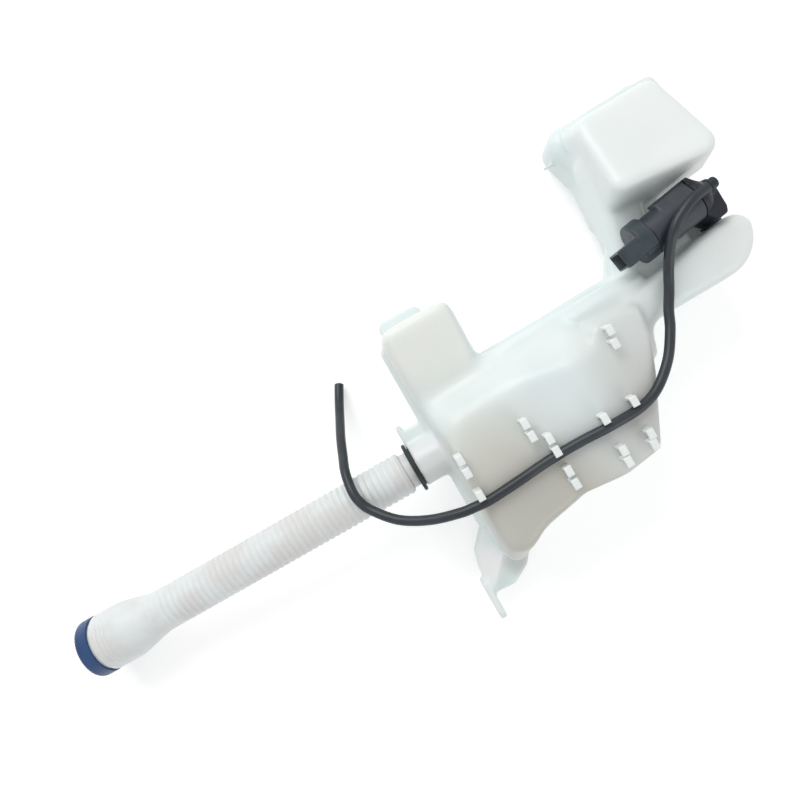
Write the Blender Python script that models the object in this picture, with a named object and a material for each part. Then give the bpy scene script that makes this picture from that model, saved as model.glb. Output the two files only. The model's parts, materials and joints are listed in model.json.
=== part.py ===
# Washer fluid reservoir, lying on its flat back.
# +X runs along the tank from the filler cap to the far lobes, +Z points away from the back.
# The origin is on the back face, under the middle of the main chamber.
# Sizes are in millimetres and become metres where a mesh is made.

import math

import bmesh
import bpy
from mathutils import Matrix, Vector

MM = 0.001
GAP = 0.3                      # clearance between pieces that touch

# Tank walls and edges
WALL = 2.6                     # blow-moulded wall
PARTING_Z = 62.0               # height of the mould's parting plane
CORNER_STEPS = 3               # facets in a rounded corner
EDGE_STEPS = 2                 # facets in a rounded edge
BACK_EDGE = 9.0                # edge radius round the back
FRONT_EDGE = 8.0               # edge radius round the raised faces
DRAFT = 1.6                    # how far each wall leans in from the parting plane
FLANGE_T = 3.0                 # parting flange thickness
FLANGE_OUT = 5.5               # how far it stands out beside the main chamber
NECK_FLANGE_OUT = 3.2          # and beside the neck and the top lobe

# Heights of the tank's raised faces
BASE_TOP = 92.0
LEFT_LOBE_TOP = 108.0          # near its far end; it falls towards the panel
LEFT_LOBE_RISE = 0.17
PANEL_TOP = 114.0
PANEL_RIDGE = PANEL_TOP + 5.0
PANEL_FALL = -11.0 / 72.0      # its slope to the right of the ridge
RIDGE_X = 17.0                 # where the panel is highest
SLOPE_X = -30.0                # where it starts to rise
LEDGE_TOP = 99.0
TOP_LOBE_TOP = 128.0
RIGHT_LOBE_TOP = 105.0
BOSS_TOP = 55.0

# Filler socket, gasket, tube and cap
LEFT_WALL_X = -104.0
SOCKET_Y = 31.3
SOCKET_R = 19.4
SOCKET_WALL = 1.8
SOCKET_END_X = -129.6
GASKET_FLANGE_R = 22.2
GASKET_FLANGE_T = 3.2
GASKET_SLEEVE = 13.0
SPIGOT_R = 15.4
TUBE_WALL = 1.5
RING_START_X = -140.7
RING_PITCH = 5.7
RING_COUNT = 43
RING_R = 18.7
RING_DEPTH = 1.3
BELL_R = 25.9
BELL_LENGTH = 42.0
BELL_BARREL = 21.0
MOUTH_NECK_R = 24.0
MOUTH_NECK = 11.0
TUBE_DROP = 30.0               # how far the tube's mouth hangs below its socket
CAP_R = 26.4
CAP_LENGTH = 11.5
CAP_WALL = 1.7
CAP_END_T = 2.2
LINER_T = 1.6
TUBE_SIDES = 20

# Hose and the hooks that hold it
HOSE_D = 8.5
HOOK_W = 7.0
HOOK_T = 3.0
HOOK_REACH = 9.6
HOOK_LIP = 2.2
HOOK_RISE = HOSE_D + 3.3
HOOK_PITCH = 11.4

# Foot and tabs
FOOT_TOP = 26.0
FOOT_RIDGE = 52.0
EAR_T = 6.0
EAR_R = 14.0
EAR_HOLE_R = 4.2
EAR_POS = (-127.0, -115.0, 29.0)
TAB_T = 5.0
TAB_Z = 38.0                   # its back face

# Pump
PUMP_POS = (149.5, 105.1, 108.0)
PUMP_TURN = 9.0                # degrees from +X towards +Y
MOTOR_R = 16.2
MOTOR_WALL = 1.5
END_CAP_R = MOTOR_R + 1.7
NECK_TOP = PUMP_POS[2] - END_CAP_R - 1.6   # the neck passes under the pump
END_CAP_Y = 1.6                # the end cap sits a little off the motor axis
END_CAP_X0 = -39.5
END_CAP_X1 = -26.5
END_CAP_FLOOR = 2.5
END_CAP_CAVITY_R = MOTOR_R - MOTOR_WALL - 2.1
SPIGOT = 4.5                   # end cap's spigot inside the housing
MOTOR_X1 = 20.0
MOTOR_END_T = 4.0
RAIL_Y = MOTOR_R + 2.9
HEAD_R = MOTOR_R
HEAD_X1 = 38.5
CHAMBER_R = HEAD_R - 4.6
WHEEL_R = CHAMBER_R - 1.6
CHAMBER = 9.7
INLET_X = 33.0
INLET_DROP = 28.0              # inlet axis below the motor axis
INLET_R = 4.6
INLET_BORE = 2.6
OUTLET_RISE = 22.0
OUTLET_Y = 2.3
OUTLET_R = 4.7
OUTLET_BORE = 2.1
OUTLET_X0 = 27.5
OUTLET_X1 = 34.5
CONNECTOR_W = 15.0
CONNECTOR_H = 25.5
CONNECTOR_X0 = -58.5
CONNECTOR_Y = -0.5
CONNECTOR_Z = 4.3
CONNECTOR_WALL = 1.6
TERMINAL_Y = 3.6
TERMINAL_W = 2.8
TERMINAL_T = 0.8
SHAFT_R = 1.5
CAN_T = 1.0
MAGNET_T = 2.7
AIR_GAP = 0.5
CORE_LENGTH = 24.0
CORE_X = -5.0
SEAT_Y = -MOTOR_R - 9.8         # tank wall beside the pump, from the motor axis
GROMMET_R = 11.0
GROMMET_HOLE_R = 8.6



def pump_line(x, offset):
    # Y of a line along the pump, at an offset from the motor axis
    turn = math.radians(PUMP_TURN)
    return PUMP_POS[1] + offset / math.cos(turn) + (x - PUMP_POS[0]) * math.tan(turn)


PUMP_FRAME = (Matrix.Translation(Vector(PUMP_POS) * MM)
              @ Matrix.Rotation(math.radians(PUMP_TURN), 4, "Z"))


# Scene helpers

def clear_scene():
    for obj in list(bpy.data.objects):
        bpy.data.objects.remove(obj, do_unlink=True)


def new_collection(name):
    made = bpy.data.collections.new(name)
    bpy.context.scene.collection.children.link(made)
    return made


def plastic(name, color, roughness, metallic=0.0):
    made = bpy.data.materials.new(name)
    made.use_nodes = True
    shader = made.node_tree.nodes["Principled BSDF"]
    shader.inputs["Base Color"].default_value = (*color, 1.0)
    shader.inputs["Roughness"].default_value = roughness
    shader.inputs["Metallic"].default_value = metallic
    return made


def make_object(name, bm, collection, material=None):
    bmesh.ops.scale(bm, vec=(MM, MM, MM), verts=bm.verts)
    bmesh.ops.recalc_face_normals(bm, faces=bm.faces)
    mesh = bpy.data.meshes.new(name)
    bm.to_mesh(mesh)
    bm.free()
    obj = bpy.data.objects.new(name, mesh)
    collection.objects.link(obj)
    if material:
        mesh.materials.append(material)
        mesh.shade_smooth()
        mesh.set_sharp_from_angle(angle=math.radians(30))
    else:
        obj.hide_render = True
        obj.display_type = "WIRE"
    return obj


def combine(obj, operand, operation):
    modifier = obj.modifiers.new(operation.title(), "BOOLEAN")
    modifier.operation = operation
    modifier.solver = "EXACT"
    modifier.object = operand


def union(obj, others):
    for other in others:
        combine(obj, other, "UNION")


def cut(obj, others):
    for other in others:
        combine(obj, other, "DIFFERENCE")


# Outline and loft helpers

def corner_data(corners):
    # For each corner: where it is, its radius, the two directions and whether it is convex
    count = len(corners)
    data = []
    for i, (x, y, r) in enumerate(corners):
        here = Vector((x, y))
        before = (Vector(corners[i - 1][:2]) - here).normalized()
        after = (Vector(corners[(i + 1) % count][:2]) - here).normalized()
        convex = before.cross(after) < 0
        data.append((here, r, before, after, convex))
    return data


def inset(corners, depth):
    # Moves every side of an anticlockwise outline inwards
    moved = []
    for here, r, before, after, convex in corner_data(corners):
        half = before.angle(after) / 2
        inward = (before + after).normalized() * (depth / math.sin(half))
        if not convex:
            inward = -inward
        spot = here + inward
        moved.append((spot.x, spot.y, max(r - depth if convex else r + depth, 0.8)))
    return moved


def rounded(corners):
    # The outline's points, with each corner as an arc
    points = []
    for here, r, before, after, convex in corner_data(corners):
        half = before.angle(after) / 2
        run = r / math.tan(half)
        start = here + before * run
        centre = here + (before + after).normalized() * (r / math.sin(half))
        spoke = start - centre
        sweep = (math.pi - 2 * half) * (1 if convex else -1)
        for k in range(CORNER_STEPS + 1):
            turn = Matrix.Rotation(sweep * k / CORNER_STEPS, 2)
            points.append(centre + turn @ spoke)
    return points


def blend_corners(low, high, t):
    return [tuple(a + (b - a) * t for a, b in zip(p, q)) for p, q in zip(low, high)]


def loft(bm, rings):
    # Skins a list of closed rings and caps both ends
    rows = [[bm.verts.new(p) for p in ring] for ring in rings]
    count = len(rows[0])
    for low, high in zip(rows, rows[1:]):
        for i in range(count):
            j = (i + 1) % count
            bm.faces.new((low[i], low[j], high[j], high[i]))
    bm.faces.new(list(reversed(rows[0])))
    bm.faces.new(rows[-1])


def lobe(name, corners, back, top, collection, edge=FRONT_EDGE, back_edge=BACK_EDGE,
         top_corners=None, slope=None, wall=0.0, draft=DRAFT, middle=PARTING_Z):
    # One bulge of the tank: widest at the middle level, with rounded edges at its back and its top.
    # slope is (x, y, rise along x, rise along y) and tilts the top face about that point.
    # wall makes the same bulge smaller by the wall, for the hollow inside.
    low = inset(corners, wall)
    high = inset(top_corners or inset(corners, draft), wall)
    low_end = inset(low, draft)
    back = back + wall
    top = top - wall
    back_edge = max(back_edge - wall, 1.2)
    edge = max(edge - wall, 1.2)
    middle = min(middle, top - edge - 1.0)

    def ring(level, outline, depth):
        t = max(0.0, (level - middle) / (top - middle))
        points = []
        for p in rounded(inset(outline, depth)):
            z = level
            if slope:
                x0, y0, rise_x, rise_y = slope
                z += t * (rise_x * (p.x - x0) + rise_y * (p.y - y0))
            points.append((p.x, p.y, z))
        return points

    rings = []
    steps = EDGE_STEPS if back_edge > 2.0 else 0
    for k in range(steps, -1, -1):
        angle = k / EDGE_STEPS * math.pi / 2
        level = back + back_edge * (1 - math.sin(angle))
        rings.append(ring(level, low_end, back_edge * (1 - math.cos(angle))))
    rings.append(ring(middle, low, 0.0))
    for k in range(EDGE_STEPS + 1):
        angle = k / EDGE_STEPS * math.pi / 2
        level = top - edge * (1 - math.sin(angle))
        t = (level - middle) / (top - middle)
        rings.append(ring(level, blend_corners(low, high, t), edge * (1 - math.cos(angle))))
    bm = bmesh.new()
    loft(bm, rings)
    return make_object(name, bm, collection)


def plate(name, corners, z0, z1, collection, material=None):
    points = rounded(corners)
    bm = bmesh.new()
    loft(bm, [[(p.x, p.y, z) for p in points] for z in (z0, z1)])
    return make_object(name, bm, collection, material)


def side_plate(name, corners, x0, x1, collection, material=None):
    # A flat outline in Y and Z, given thickness along X
    points = rounded(corners)
    bm = bmesh.new()
    loft(bm, [[(x, p.x, p.y) for p in points] for x in (x0, x1)])
    return make_object(name, bm, collection, material)


def box(name, low, high, collection, material=None, frame=None):
    bm = bmesh.new()
    bmesh.ops.create_cube(bm, size=1.0)
    size = [b - a for a, b in zip(low, high)]
    middle = [(a + b) / 2 for a, b in zip(low, high)]
    bmesh.ops.scale(bm, vec=size, verts=bm.verts)
    bmesh.ops.translate(bm, vec=middle, verts=bm.verts)
    obj = make_object(name, bm, collection, material)
    if frame:
        obj.matrix_world = frame
    return obj


def turned(name, profile, collection, material=None, frame=None, sides=24, centre=(0.0, 0.0, 0.0),
           axis="X"):
    # Turns a closed profile of (along, radius) points about an axis.
    # A profile that starts and ends on the axis makes a solid with flat ends, any other makes a ring.
    solid = profile[0][1] == 0
    if solid:
        profile = profile[1:-1]
    bm = bmesh.new()
    angles = [2 * math.pi * k / sides for k in range(sides)]
    rows = [[bm.verts.new((along, radius * math.cos(a), radius * math.sin(a))) for a in angles]
            for along, radius in profile]
    pairs = list(zip(rows, rows[1:]))
    if solid:
        bm.faces.new(rows[0])
        bm.faces.new(rows[-1])
    else:
        pairs.append((rows[-1], rows[0]))
    for low, high in pairs:
        for i in range(sides):
            j = (i + 1) % sides
            bm.faces.new((low[i], low[j], high[j], high[i]))
    if axis == "Y":
        bmesh.ops.rotate(bm, matrix=Matrix.Rotation(math.pi / 2, 3, "Z"), verts=bm.verts)
    if axis == "Z":
        bmesh.ops.rotate(bm, matrix=Matrix.Rotation(-math.pi / 2, 3, "Y"), verts=bm.verts)
    bmesh.ops.translate(bm, vec=centre, verts=bm.verts)
    obj = make_object(name, bm, collection, material)
    if frame:
        obj.matrix_world = frame
    return obj


def rod(name, x0, x1, radius, collection, material=None, frame=None, sides=24,
        centre=(0.0, 0.0, 0.0), axis="X"):
    profile = [(x0, 0), (x0, radius), (x1, radius), (x1, 0)]
    return turned(name, profile, collection, material, frame, sides, centre, axis)


def ring_solid(name, x0, x1, bore, radius, collection, material=None, frame=None, sides=24,
               centre=(0.0, 0.0, 0.0), axis="X"):
    profile = [(x0, bore), (x0, radius), (x1, radius), (x1, bore)]
    return turned(name, profile, collection, material, frame, sides, centre, axis)


# Tank outlines, anticlockwise at the parting plane, as (x, y, corner radius)

BASE = [(LEFT_WALL_X, -89, 12), (-62, -64, 40), (-18, -55, 60), (0, -58.5, 60), (57, -53, 9),
        (84, 0, 30), (94, 30, 10), (106, 86.4, 8), (LEFT_WALL_X, 86.4, 6)]
LEFT_LOBE = [(LEFT_WALL_X + 0.4, 70, 8), (-40, 76, 10), (-40, 142.5, 13), (LEFT_WALL_X + 0.4, 142.5, 11)]
LEFT_LOBE_FACE = [(LEFT_WALL_X + 2, 80, 10), (-41.6, 86, 11), (-41.6, 141, 12), (LEFT_WALL_X + 2, 141, 10)]
PANEL_A = [(-101.5, -84, 14), (-64, -62, 30), (-24, -54.5, 4), (-24, 75.5, 4), (-101.5, 73, 8)]
PANEL_A_FACE = [(-98.5, -80.5, 16), (-64, -59.5, 30), (-24, -52, 4), (-24, 54, 4), (-98.5, 53, 17)]
PANEL_B = [(-30, -52.5, 4), (19, -56, 4), (29, 76.5, 3), (-30, 75.8, 3)]
PANEL_B_FACE = [(-30, -50, 4), (18, -54, 4), (22, 45, 3), (-30, 54.5, 3)]
PANEL_C = [(12, -56.5, 5), (55.5, -52, 8), (83, 0.5, 26), (92.5, 29, 10), (95, 68, 7), (45.5, 70, 6),
           (36, 77.3, 4), (12, 76.2, 3)]
PANEL_C_FACE = [(12, -53.5, 5), (53.5, -48.5, 9), (79.5, 2, 26), (88.5, 30, 10), (91, 61, 8), (49, 60, 6),
                (40, 47, 5), (12, 46, 3)]
LEDGE = [(45, 56, 4), (112, 58, 4), (110, 83, 4), (35, 80.5, 4)]
NECK = [(94, 60, 6), (138, 66, 8), (142, 120, 9), (152, 190, 8), (114.5, 190, 8), (102, 99, 12)]
TOP_LOBE = [(112, 128, 8), (143, pump_line(143, RAIL_Y + 1.6), 10), (217, pump_line(217, RAIL_Y + 2.8), 14),
            (206, 219, 14), (119.5, 217, 14)]
TOP_LOBE_FACE = [(113.5, 143.5, 9), (143, 141, 12), (203, 143, 13), (197, 214, 12), (118, 212, 14)]
BOSS = [(117, 177, 3), (150, 177, 4), (150, 226, 4), (104.5, 226, 16), (105, 202, 9)]
RIGHT_LOBE = [(60, 8, 6), (90, 12, 8), (97, 38.5, 12), (213, 40, 33), (213, pump_line(213, SEAT_Y), 13),
              (60, pump_line(60, SEAT_Y), 6)]
FOOT = [(-131, -107, 3), (-116, -107, 3), (-62, -66, 8), (-62, -40, 8), (-104, -40, 3), (-126, -60, 5),
        (-129, -78, 8)]
FOOT_WEDGE = [(-130.5, -98, 2), (-124, -99.5, 2), (-96, -66, 3), (-80, -60, 4), (-84, -42, 4), (-105, -42, 2),
              (-127, -63, 4)]
FOOT_HOLLOW = [(-126, -88, 2), (-118, -88, 2), (-96, -61, 3), (-83, -56, 3), (-86, -46, 3), (-104, -46, 2),
               (-122, -64, 4)]


def tank_lobes(suffix, collection, wall):
    # The bulges that make the tank, at full size or smaller by the wall
    def make(name, outline, back, top, **options):
        return lobe(name + suffix, outline, back, top, collection, wall=wall, **options)

    ridge_rise = (PANEL_RIDGE - PANEL_TOP) / (RIDGE_X - SLOPE_X)
    return [
        make("base", BASE, 0.0, BASE_TOP, edge=5.0),
        make("left_lobe", LEFT_LOBE, 5.0, LEFT_LOBE_TOP, top_corners=LEFT_LOBE_FACE,
             slope=(-70, 133, 0.0, LEFT_LOBE_RISE)),
        make("panel_a", PANEL_A, 50.0, PANEL_TOP, top_corners=PANEL_A_FACE, edge=6.0, back_edge=1.0,
             middle=BASE_TOP + 0.5, slope=(-60, 20, 0.0, 0.015)),
        make("panel_b", PANEL_B, 50.5, PANEL_TOP, top_corners=PANEL_B_FACE, edge=5.0, back_edge=1.0,
             middle=BASE_TOP + 0.2, slope=(SLOPE_X, 20, ridge_rise, 0.015)),
        make("panel_c", PANEL_C, 51.0, PANEL_RIDGE, top_corners=PANEL_C_FACE, edge=5.5, back_edge=1.0,
             middle=BASE_TOP + 0.8, slope=(RIDGE_X, 20, PANEL_FALL, 0.02)),
        make("ledge", LEDGE, 52.0, LEDGE_TOP, edge=5.0, back_edge=1.0),
        make("neck", NECK, 12.0, NECK_TOP, edge=6.0),
        make("top_lobe", TOP_LOBE, 9.0, TOP_LOBE_TOP, edge=8.0, top_corners=TOP_LOBE_FACE,
             slope=(150, 141, 0.0, -0.34)),
        make("boss", BOSS, 3.0, BOSS_TOP, edge=10.0),
        make("right_lobe", RIGHT_LOBE, 7.0, RIGHT_LOBE_TOP, edge=8.0, draft=0.4,
             slope=(150, 74, 0.0, 0.18)),
        make("foot", FOOT, 8.0, FOOT_TOP, edge=4.0, back_edge=6.0, draft=0.4),
        lobe("foot_wedge" + suffix, FOOT_HOLLOW if wall else FOOT_WEDGE, 14.0 + wall, FOOT_RIDGE - wall * 1.4,
             collection, edge=1.5, back_edge=1.5, draft=0.2, middle=20.0, slope=(-97, -65, 0.76, -0.27)),
    ]


def tank_flanges(collection):
    # The parting flange: strips beside the chamber, and a rim round the neck and the top lobe
    z0 = PARTING_Z - FLANGE_T / 2
    z1 = PARTING_Z + FLANGE_T / 2
    out = FLANGE_OUT
    left = LEFT_WALL_X - out
    top = 86.4 + out
    chamber = [(left, -44, 2), (-92, -44, 2), (-92, 76, 2), (98, 76, 2), (98, top, 2),
               (-44, top, 4), (-44, 110, 4), (-92, 110, 4), (-92, 134, 3), (left, 134, 6)]
    neck = [(96, 84, 2), (130, 90, 4), (130, 186, 4), (116.5, 186, 4), (102, 99, 12)]
    web = [(82, 80, 2), (106, 80, 2), (106, 116, 2)]
    strips = [plate("flange_chamber", chamber, z0, z1, collection),
              plate("flange_neck", inset(neck, -NECK_FLANGE_OUT), z0 + 0.2, z1 - 0.2, collection),
              plate("flange_top_lobe", inset(TOP_LOBE, -NECK_FLANGE_OUT - 1), z0 + 0.4, z1 - 0.4, collection),
              plate("flange_web", web, z0 + 0.6, z1 - 0.6, collection)]
    return strips


def tank_socket(collection):
    # Filler socket with the web and the ear beside it
    y = SOCKET_Y
    z = PARTING_Z
    tube = rod("socket", SOCKET_END_X, LEFT_WALL_X + 6, SOCKET_R, collection, sides=28, centre=(0, y, z))
    web_top = y + SOCKET_R + 12.5
    web = plate("socket_web", [(SOCKET_END_X - 0.6, y + 5, 1), (LEFT_WALL_X + 3, y + 5, 1),
                               (LEFT_WALL_X + 3, web_top, 1), (SOCKET_END_X + 4.6, web_top, 1),
                               (SOCKET_END_X + 4.6, web_top + 6.5, 1.5), (SOCKET_END_X - 0.6, web_top + 6.5, 1.5)],
                z - 1.8, z + 1.8, collection)
    return [tube, web]


def panel_height(x, y):
    # Height of the raised panel: level at the left, up to the ridge, then down to the right
    along = 0.015 * (y - 20.0)
    if x < SLOPE_X:
        return PANEL_TOP + along
    if x < RIDGE_X:
        return PANEL_TOP + (PANEL_RIDGE - PANEL_TOP) * (x - SLOPE_X) / (RIDGE_X - SLOPE_X) + along
    return PANEL_RIDGE + PANEL_FALL * (x - RIDGE_X) + 0.02 * (y - 20.0)


HOOKS = [  # x, and y of the post's outer face
    (-97.0, 27.5), (-97.0, 27.5 - HOOK_PITCH), (-97.0, -4.4),
    (-38.7, 27.0), (-38.7, 27.0 - HOOK_PITCH), (-27.8, 7.2), (-27.8, 7.2 - HOOK_PITCH),
    (-27.2, -22.4), (-27.2, -22.4 - HOOK_PITCH), (16.6, -0.3), (44.2, -0.3),
    (17.0, -29.0), (17.0, -29.0 - HOOK_PITCH), (43.5, -29.0), (43.5, -29.0 - HOOK_PITCH),
    (55.5, 57.5), (54.0, 57.5 - HOOK_PITCH),
]


def tank_hooks(collection):
    made = []
    for i, (x, y) in enumerate(HOOKS):
        z = panel_height(x, y - HOOK_REACH / 2)
        low = z - 5.0
        top = z + HOOK_RISE
        outline = [(y - HOOK_T, low), (y, low), (y, top - 1.2), (y - 1.2, top), (y - HOOK_REACH, top),
                   (y - HOOK_REACH, top - HOOK_LIP), (y - HOOK_T, top - HOOK_LIP)]
        bm = bmesh.new()
        loft(bm, [[(side, a, b) for a, b in outline] for side in (x - HOOK_W / 2, x + HOOK_W / 2)])
        made.append(make_object("hook_%02d" % i, bm, collection))
    return made


def tank_fittings(collection):
    ear_x, ear_y, ear_z = EAR_POS
    ear = side_plate("ear", [(ear_y - EAR_R, ear_z - EAR_R, EAR_R - 1.5), (ear_y + 25, ear_z - EAR_R + 2, 2),
                             (ear_y + 25, ear_z + EAR_R - 4, 2), (ear_y - EAR_R, ear_z + EAR_R, EAR_R - 1.5)],
                     ear_x - EAR_T, ear_x, collection)
    tab = plate("back_tab", [(-100, 134, 3), (-58, 134, 3), (-58, 154.5, 8), (-96, 155.5, 4), (-100, 150, 3)],
                TAB_Z, TAB_Z + TAB_T, collection)
    pin = rod("locating_pin", 98.8, 110.0, 1.8, collection, sides=12, centre=(0, 202.0, 36.0))
    return [ear, tab, pin]


def make_tank(parts, cutters, material):
    tank = lobe("tank", BASE, 0.0, BASE_TOP, parts, edge=5.0)
    tank.data.materials.append(material)
    tank.hide_render = False
    tank.display_type = "TEXTURED"
    union(tank, tank_lobes("_outer", cutters, 0.0)[1:])
    union(tank, tank_flanges(cutters))
    union(tank, tank_socket(cutters))
    union(tank, tank_fittings(cutters))
    union(tank, tank_hooks(cutters))

    bore = rod("socket_bore", SOCKET_END_X - 2, LEFT_WALL_X + 8, SOCKET_R - SOCKET_WALL, cutters,
               sides=28, centre=(0, SOCKET_Y, PARTING_Z))
    seat = rod("grommet_hole", SEAT_Y - 6, SEAT_Y + 3, GROMMET_HOLE_R, cutters, frame=PUMP_FRAME,
               sides=20, centre=(INLET_X, 0, -INLET_DROP), axis="Y")
    ear_hole = rod("ear_hole", EAR_POS[0] - EAR_T - 7, EAR_POS[0] + 7, EAR_HOLE_R, cutters, sides=24,
                   centre=(0, EAR_POS[1], EAR_POS[2]))
    web_hole = rod("web_hole", PARTING_Z - 5, PARTING_Z + 5, 1.3, cutters, sides=10,
                   centre=(92.3, 95.4, 0), axis="Z")
    hollow = tank_lobes("_inner", cutters, WALL)
    union(hollow[0], hollow[1:] + [bore, seat, ear_hole, web_hole])
    cut(tank, [hollow[0]])
    return tank


# Filler tube, gasket and cap

def tube_mouth_x():
    return RING_START_X - RING_COUNT * RING_PITCH - BELL_LENGTH - BELL_BARREL - MOUTH_NECK


def tube_drop(x):
    # How far the tube's centre line lies below the socket's axis
    t = max(0.0, (RING_START_X - x) / (RING_START_X - tube_mouth_x()))
    return TUBE_DROP * (0.5 * t + 0.5 * t * t)


def tube_frame(x):
    # Place on the centre line, with its own X along the line towards the tank
    slope = (tube_drop(x - 1.0) - tube_drop(x + 1.0)) / 2.0 if x < RING_START_X else 0.0
    place = Vector((x, SOCKET_Y, PARTING_Z - tube_drop(x)))
    turn = Matrix.Rotation(-math.atan(slope), 4, "Y")
    return Matrix.Translation(place) @ turn


def bend_tube(mesh):
    # Carries each point of the straight tube over to the sagging centre line
    for vert in mesh.vertices:
        x, y, z = vert.co / MM
        vert.co = (tube_frame(x) @ Vector((0.0, y, z))) * MM


def bell_radius(t):
    # Smooth swell from the rings to the barrel of the bell
    ease = t * t * (3 - 2 * t)
    return RING_R - 0.4 + (BELL_R - RING_R + 0.4) * ease


def make_tube(parts, material):
    outer = []
    spigot_in = LEFT_WALL_X - 8.0
    outer += [(spigot_in, SPIGOT_R - 0.8), (spigot_in - 1.5, SPIGOT_R), (RING_START_X + 0.8, SPIGOT_R)]
    for i in range(RING_COUNT):
        x = RING_START_X - i * RING_PITCH
        outer.append((x - 0.2 * RING_PITCH, RING_R))
        outer.append((x - 0.8 * RING_PITCH, RING_R - RING_DEPTH))
    bell_x = RING_START_X - RING_COUNT * RING_PITCH
    for k in range(7):
        outer.append((bell_x - BELL_LENGTH * k / 6, bell_radius(k / 6)))
    barrel_x = bell_x - BELL_LENGTH
    groove = barrel_x - BELL_BARREL + 7.0
    outer += [(groove + 1.6, BELL_R), (groove, BELL_R - 0.9), (groove - 1.6, BELL_R)]
    lip_x = barrel_x - BELL_BARREL
    outer += [(lip_x + 0.8, BELL_R), (lip_x, MOUTH_NECK_R)]
    mouth = tube_mouth_x()
    outer += [(mouth, MOUTH_NECK_R)]
    inner = [(mouth, MOUTH_NECK_R - TUBE_WALL), (barrel_x, MOUTH_NECK_R - TUBE_WALL)]
    for k in range(4, -1, -1):
        inner.append((bell_x - BELL_LENGTH * k / 6, bell_radius(k / 6) - TUBE_WALL - RING_DEPTH))
    bore = SPIGOT_R - TUBE_WALL
    for k in range(1, 8):
        inner.append((bell_x + (RING_START_X - bell_x) * k / 8, RING_R - RING_DEPTH - TUBE_WALL))
    inner += [(RING_START_X - 4.0, RING_R - RING_DEPTH - TUBE_WALL), (RING_START_X + 3.0, bore),
              (spigot_in, bore)]
    tube = turned("filler_tube", outer + inner, parts, material, sides=TUBE_SIDES)
    bend_tube(tube.data)
    return tube


def make_gasket(parts, material):
    bore = SPIGOT_R + GAP
    sleeve = SOCKET_R - SOCKET_WALL - GAP
    face = SOCKET_END_X - 0.7 - GAP
    profile = [(face - GASKET_FLANGE_T, bore), (face - GASKET_FLANGE_T, GASKET_FLANGE_R - 1.0),
               (face - GASKET_FLANGE_T + 1.0, GASKET_FLANGE_R), (face - 1.0, GASKET_FLANGE_R),
               (face, GASKET_FLANGE_R - 1.0), (face, sleeve), (face + GASKET_SLEEVE, sleeve),
               (face + GASKET_SLEEVE, bore)]
    return turned("neck_gasket", profile, parts, material, sides=28, centre=(0, SOCKET_Y, PARTING_Z))


def make_cap(parts, cap_material, liner_material):
    frame = tube_frame(tube_mouth_x())
    frame = Matrix.Translation(frame.translation * MM) @ frame.to_3x3().to_4x4()
    skirt = CAP_R - CAP_WALL
    end = -GAP - LINER_T - GAP - CAP_END_T
    open_end = end + CAP_LENGTH + CAP_END_T
    profile = [(end, 0), (end, CAP_R - 2.6), (end + 0.9, CAP_R - 0.7), (end + 2.6, CAP_R), (open_end, CAP_R),
               (open_end, skirt), (end + CAP_END_T, skirt), (end + CAP_END_T, 0)]
    hub = bpy.data.objects.new("cap_axis", None)
    hub.matrix_world = frame
    parts.objects.link(hub)
    cap = turned("filler_cap", profile, parts, cap_material, sides=32)
    liner = rod("cap_liner", end + CAP_END_T + GAP, -GAP, skirt - GAP, parts, liner_material, sides=32)
    for piece in (cap, liner):
        piece.parent = hub
    return frame


# Pump, in its own frame: +X along the motor towards the pump head

def make_housing(parts, cutters, material):
    bore = MOTOR_R - MOTOR_WALL
    x0 = END_CAP_X1 + GAP
    profile = [(x0, bore), (x0, MOTOR_R), (MOTOR_X1 - 0.6, MOTOR_R), (MOTOR_X1, MOTOR_R - 0.6),
               (MOTOR_X1, 4.0 + GAP), (MOTOR_X1 - MOTOR_END_T, 4.0 + GAP), (MOTOR_X1 - MOTOR_END_T, bore)]
    housing = turned("pump_housing", profile, parts, material, PUMP_FRAME, sides=28)
    rail = box("housing_rail", (-10, MOTOR_R - 4, -6), (MOTOR_X1 - 0.3, RAIL_Y, 9), cutters, frame=PUMP_FRAME)
    hollow = rod("housing_bore", x0 - 1, MOTOR_X1 - MOTOR_END_T, bore, cutters, frame=PUMP_FRAME, sides=28)
    union(housing, [rail])
    cut(housing, [hollow])
    return housing


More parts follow.
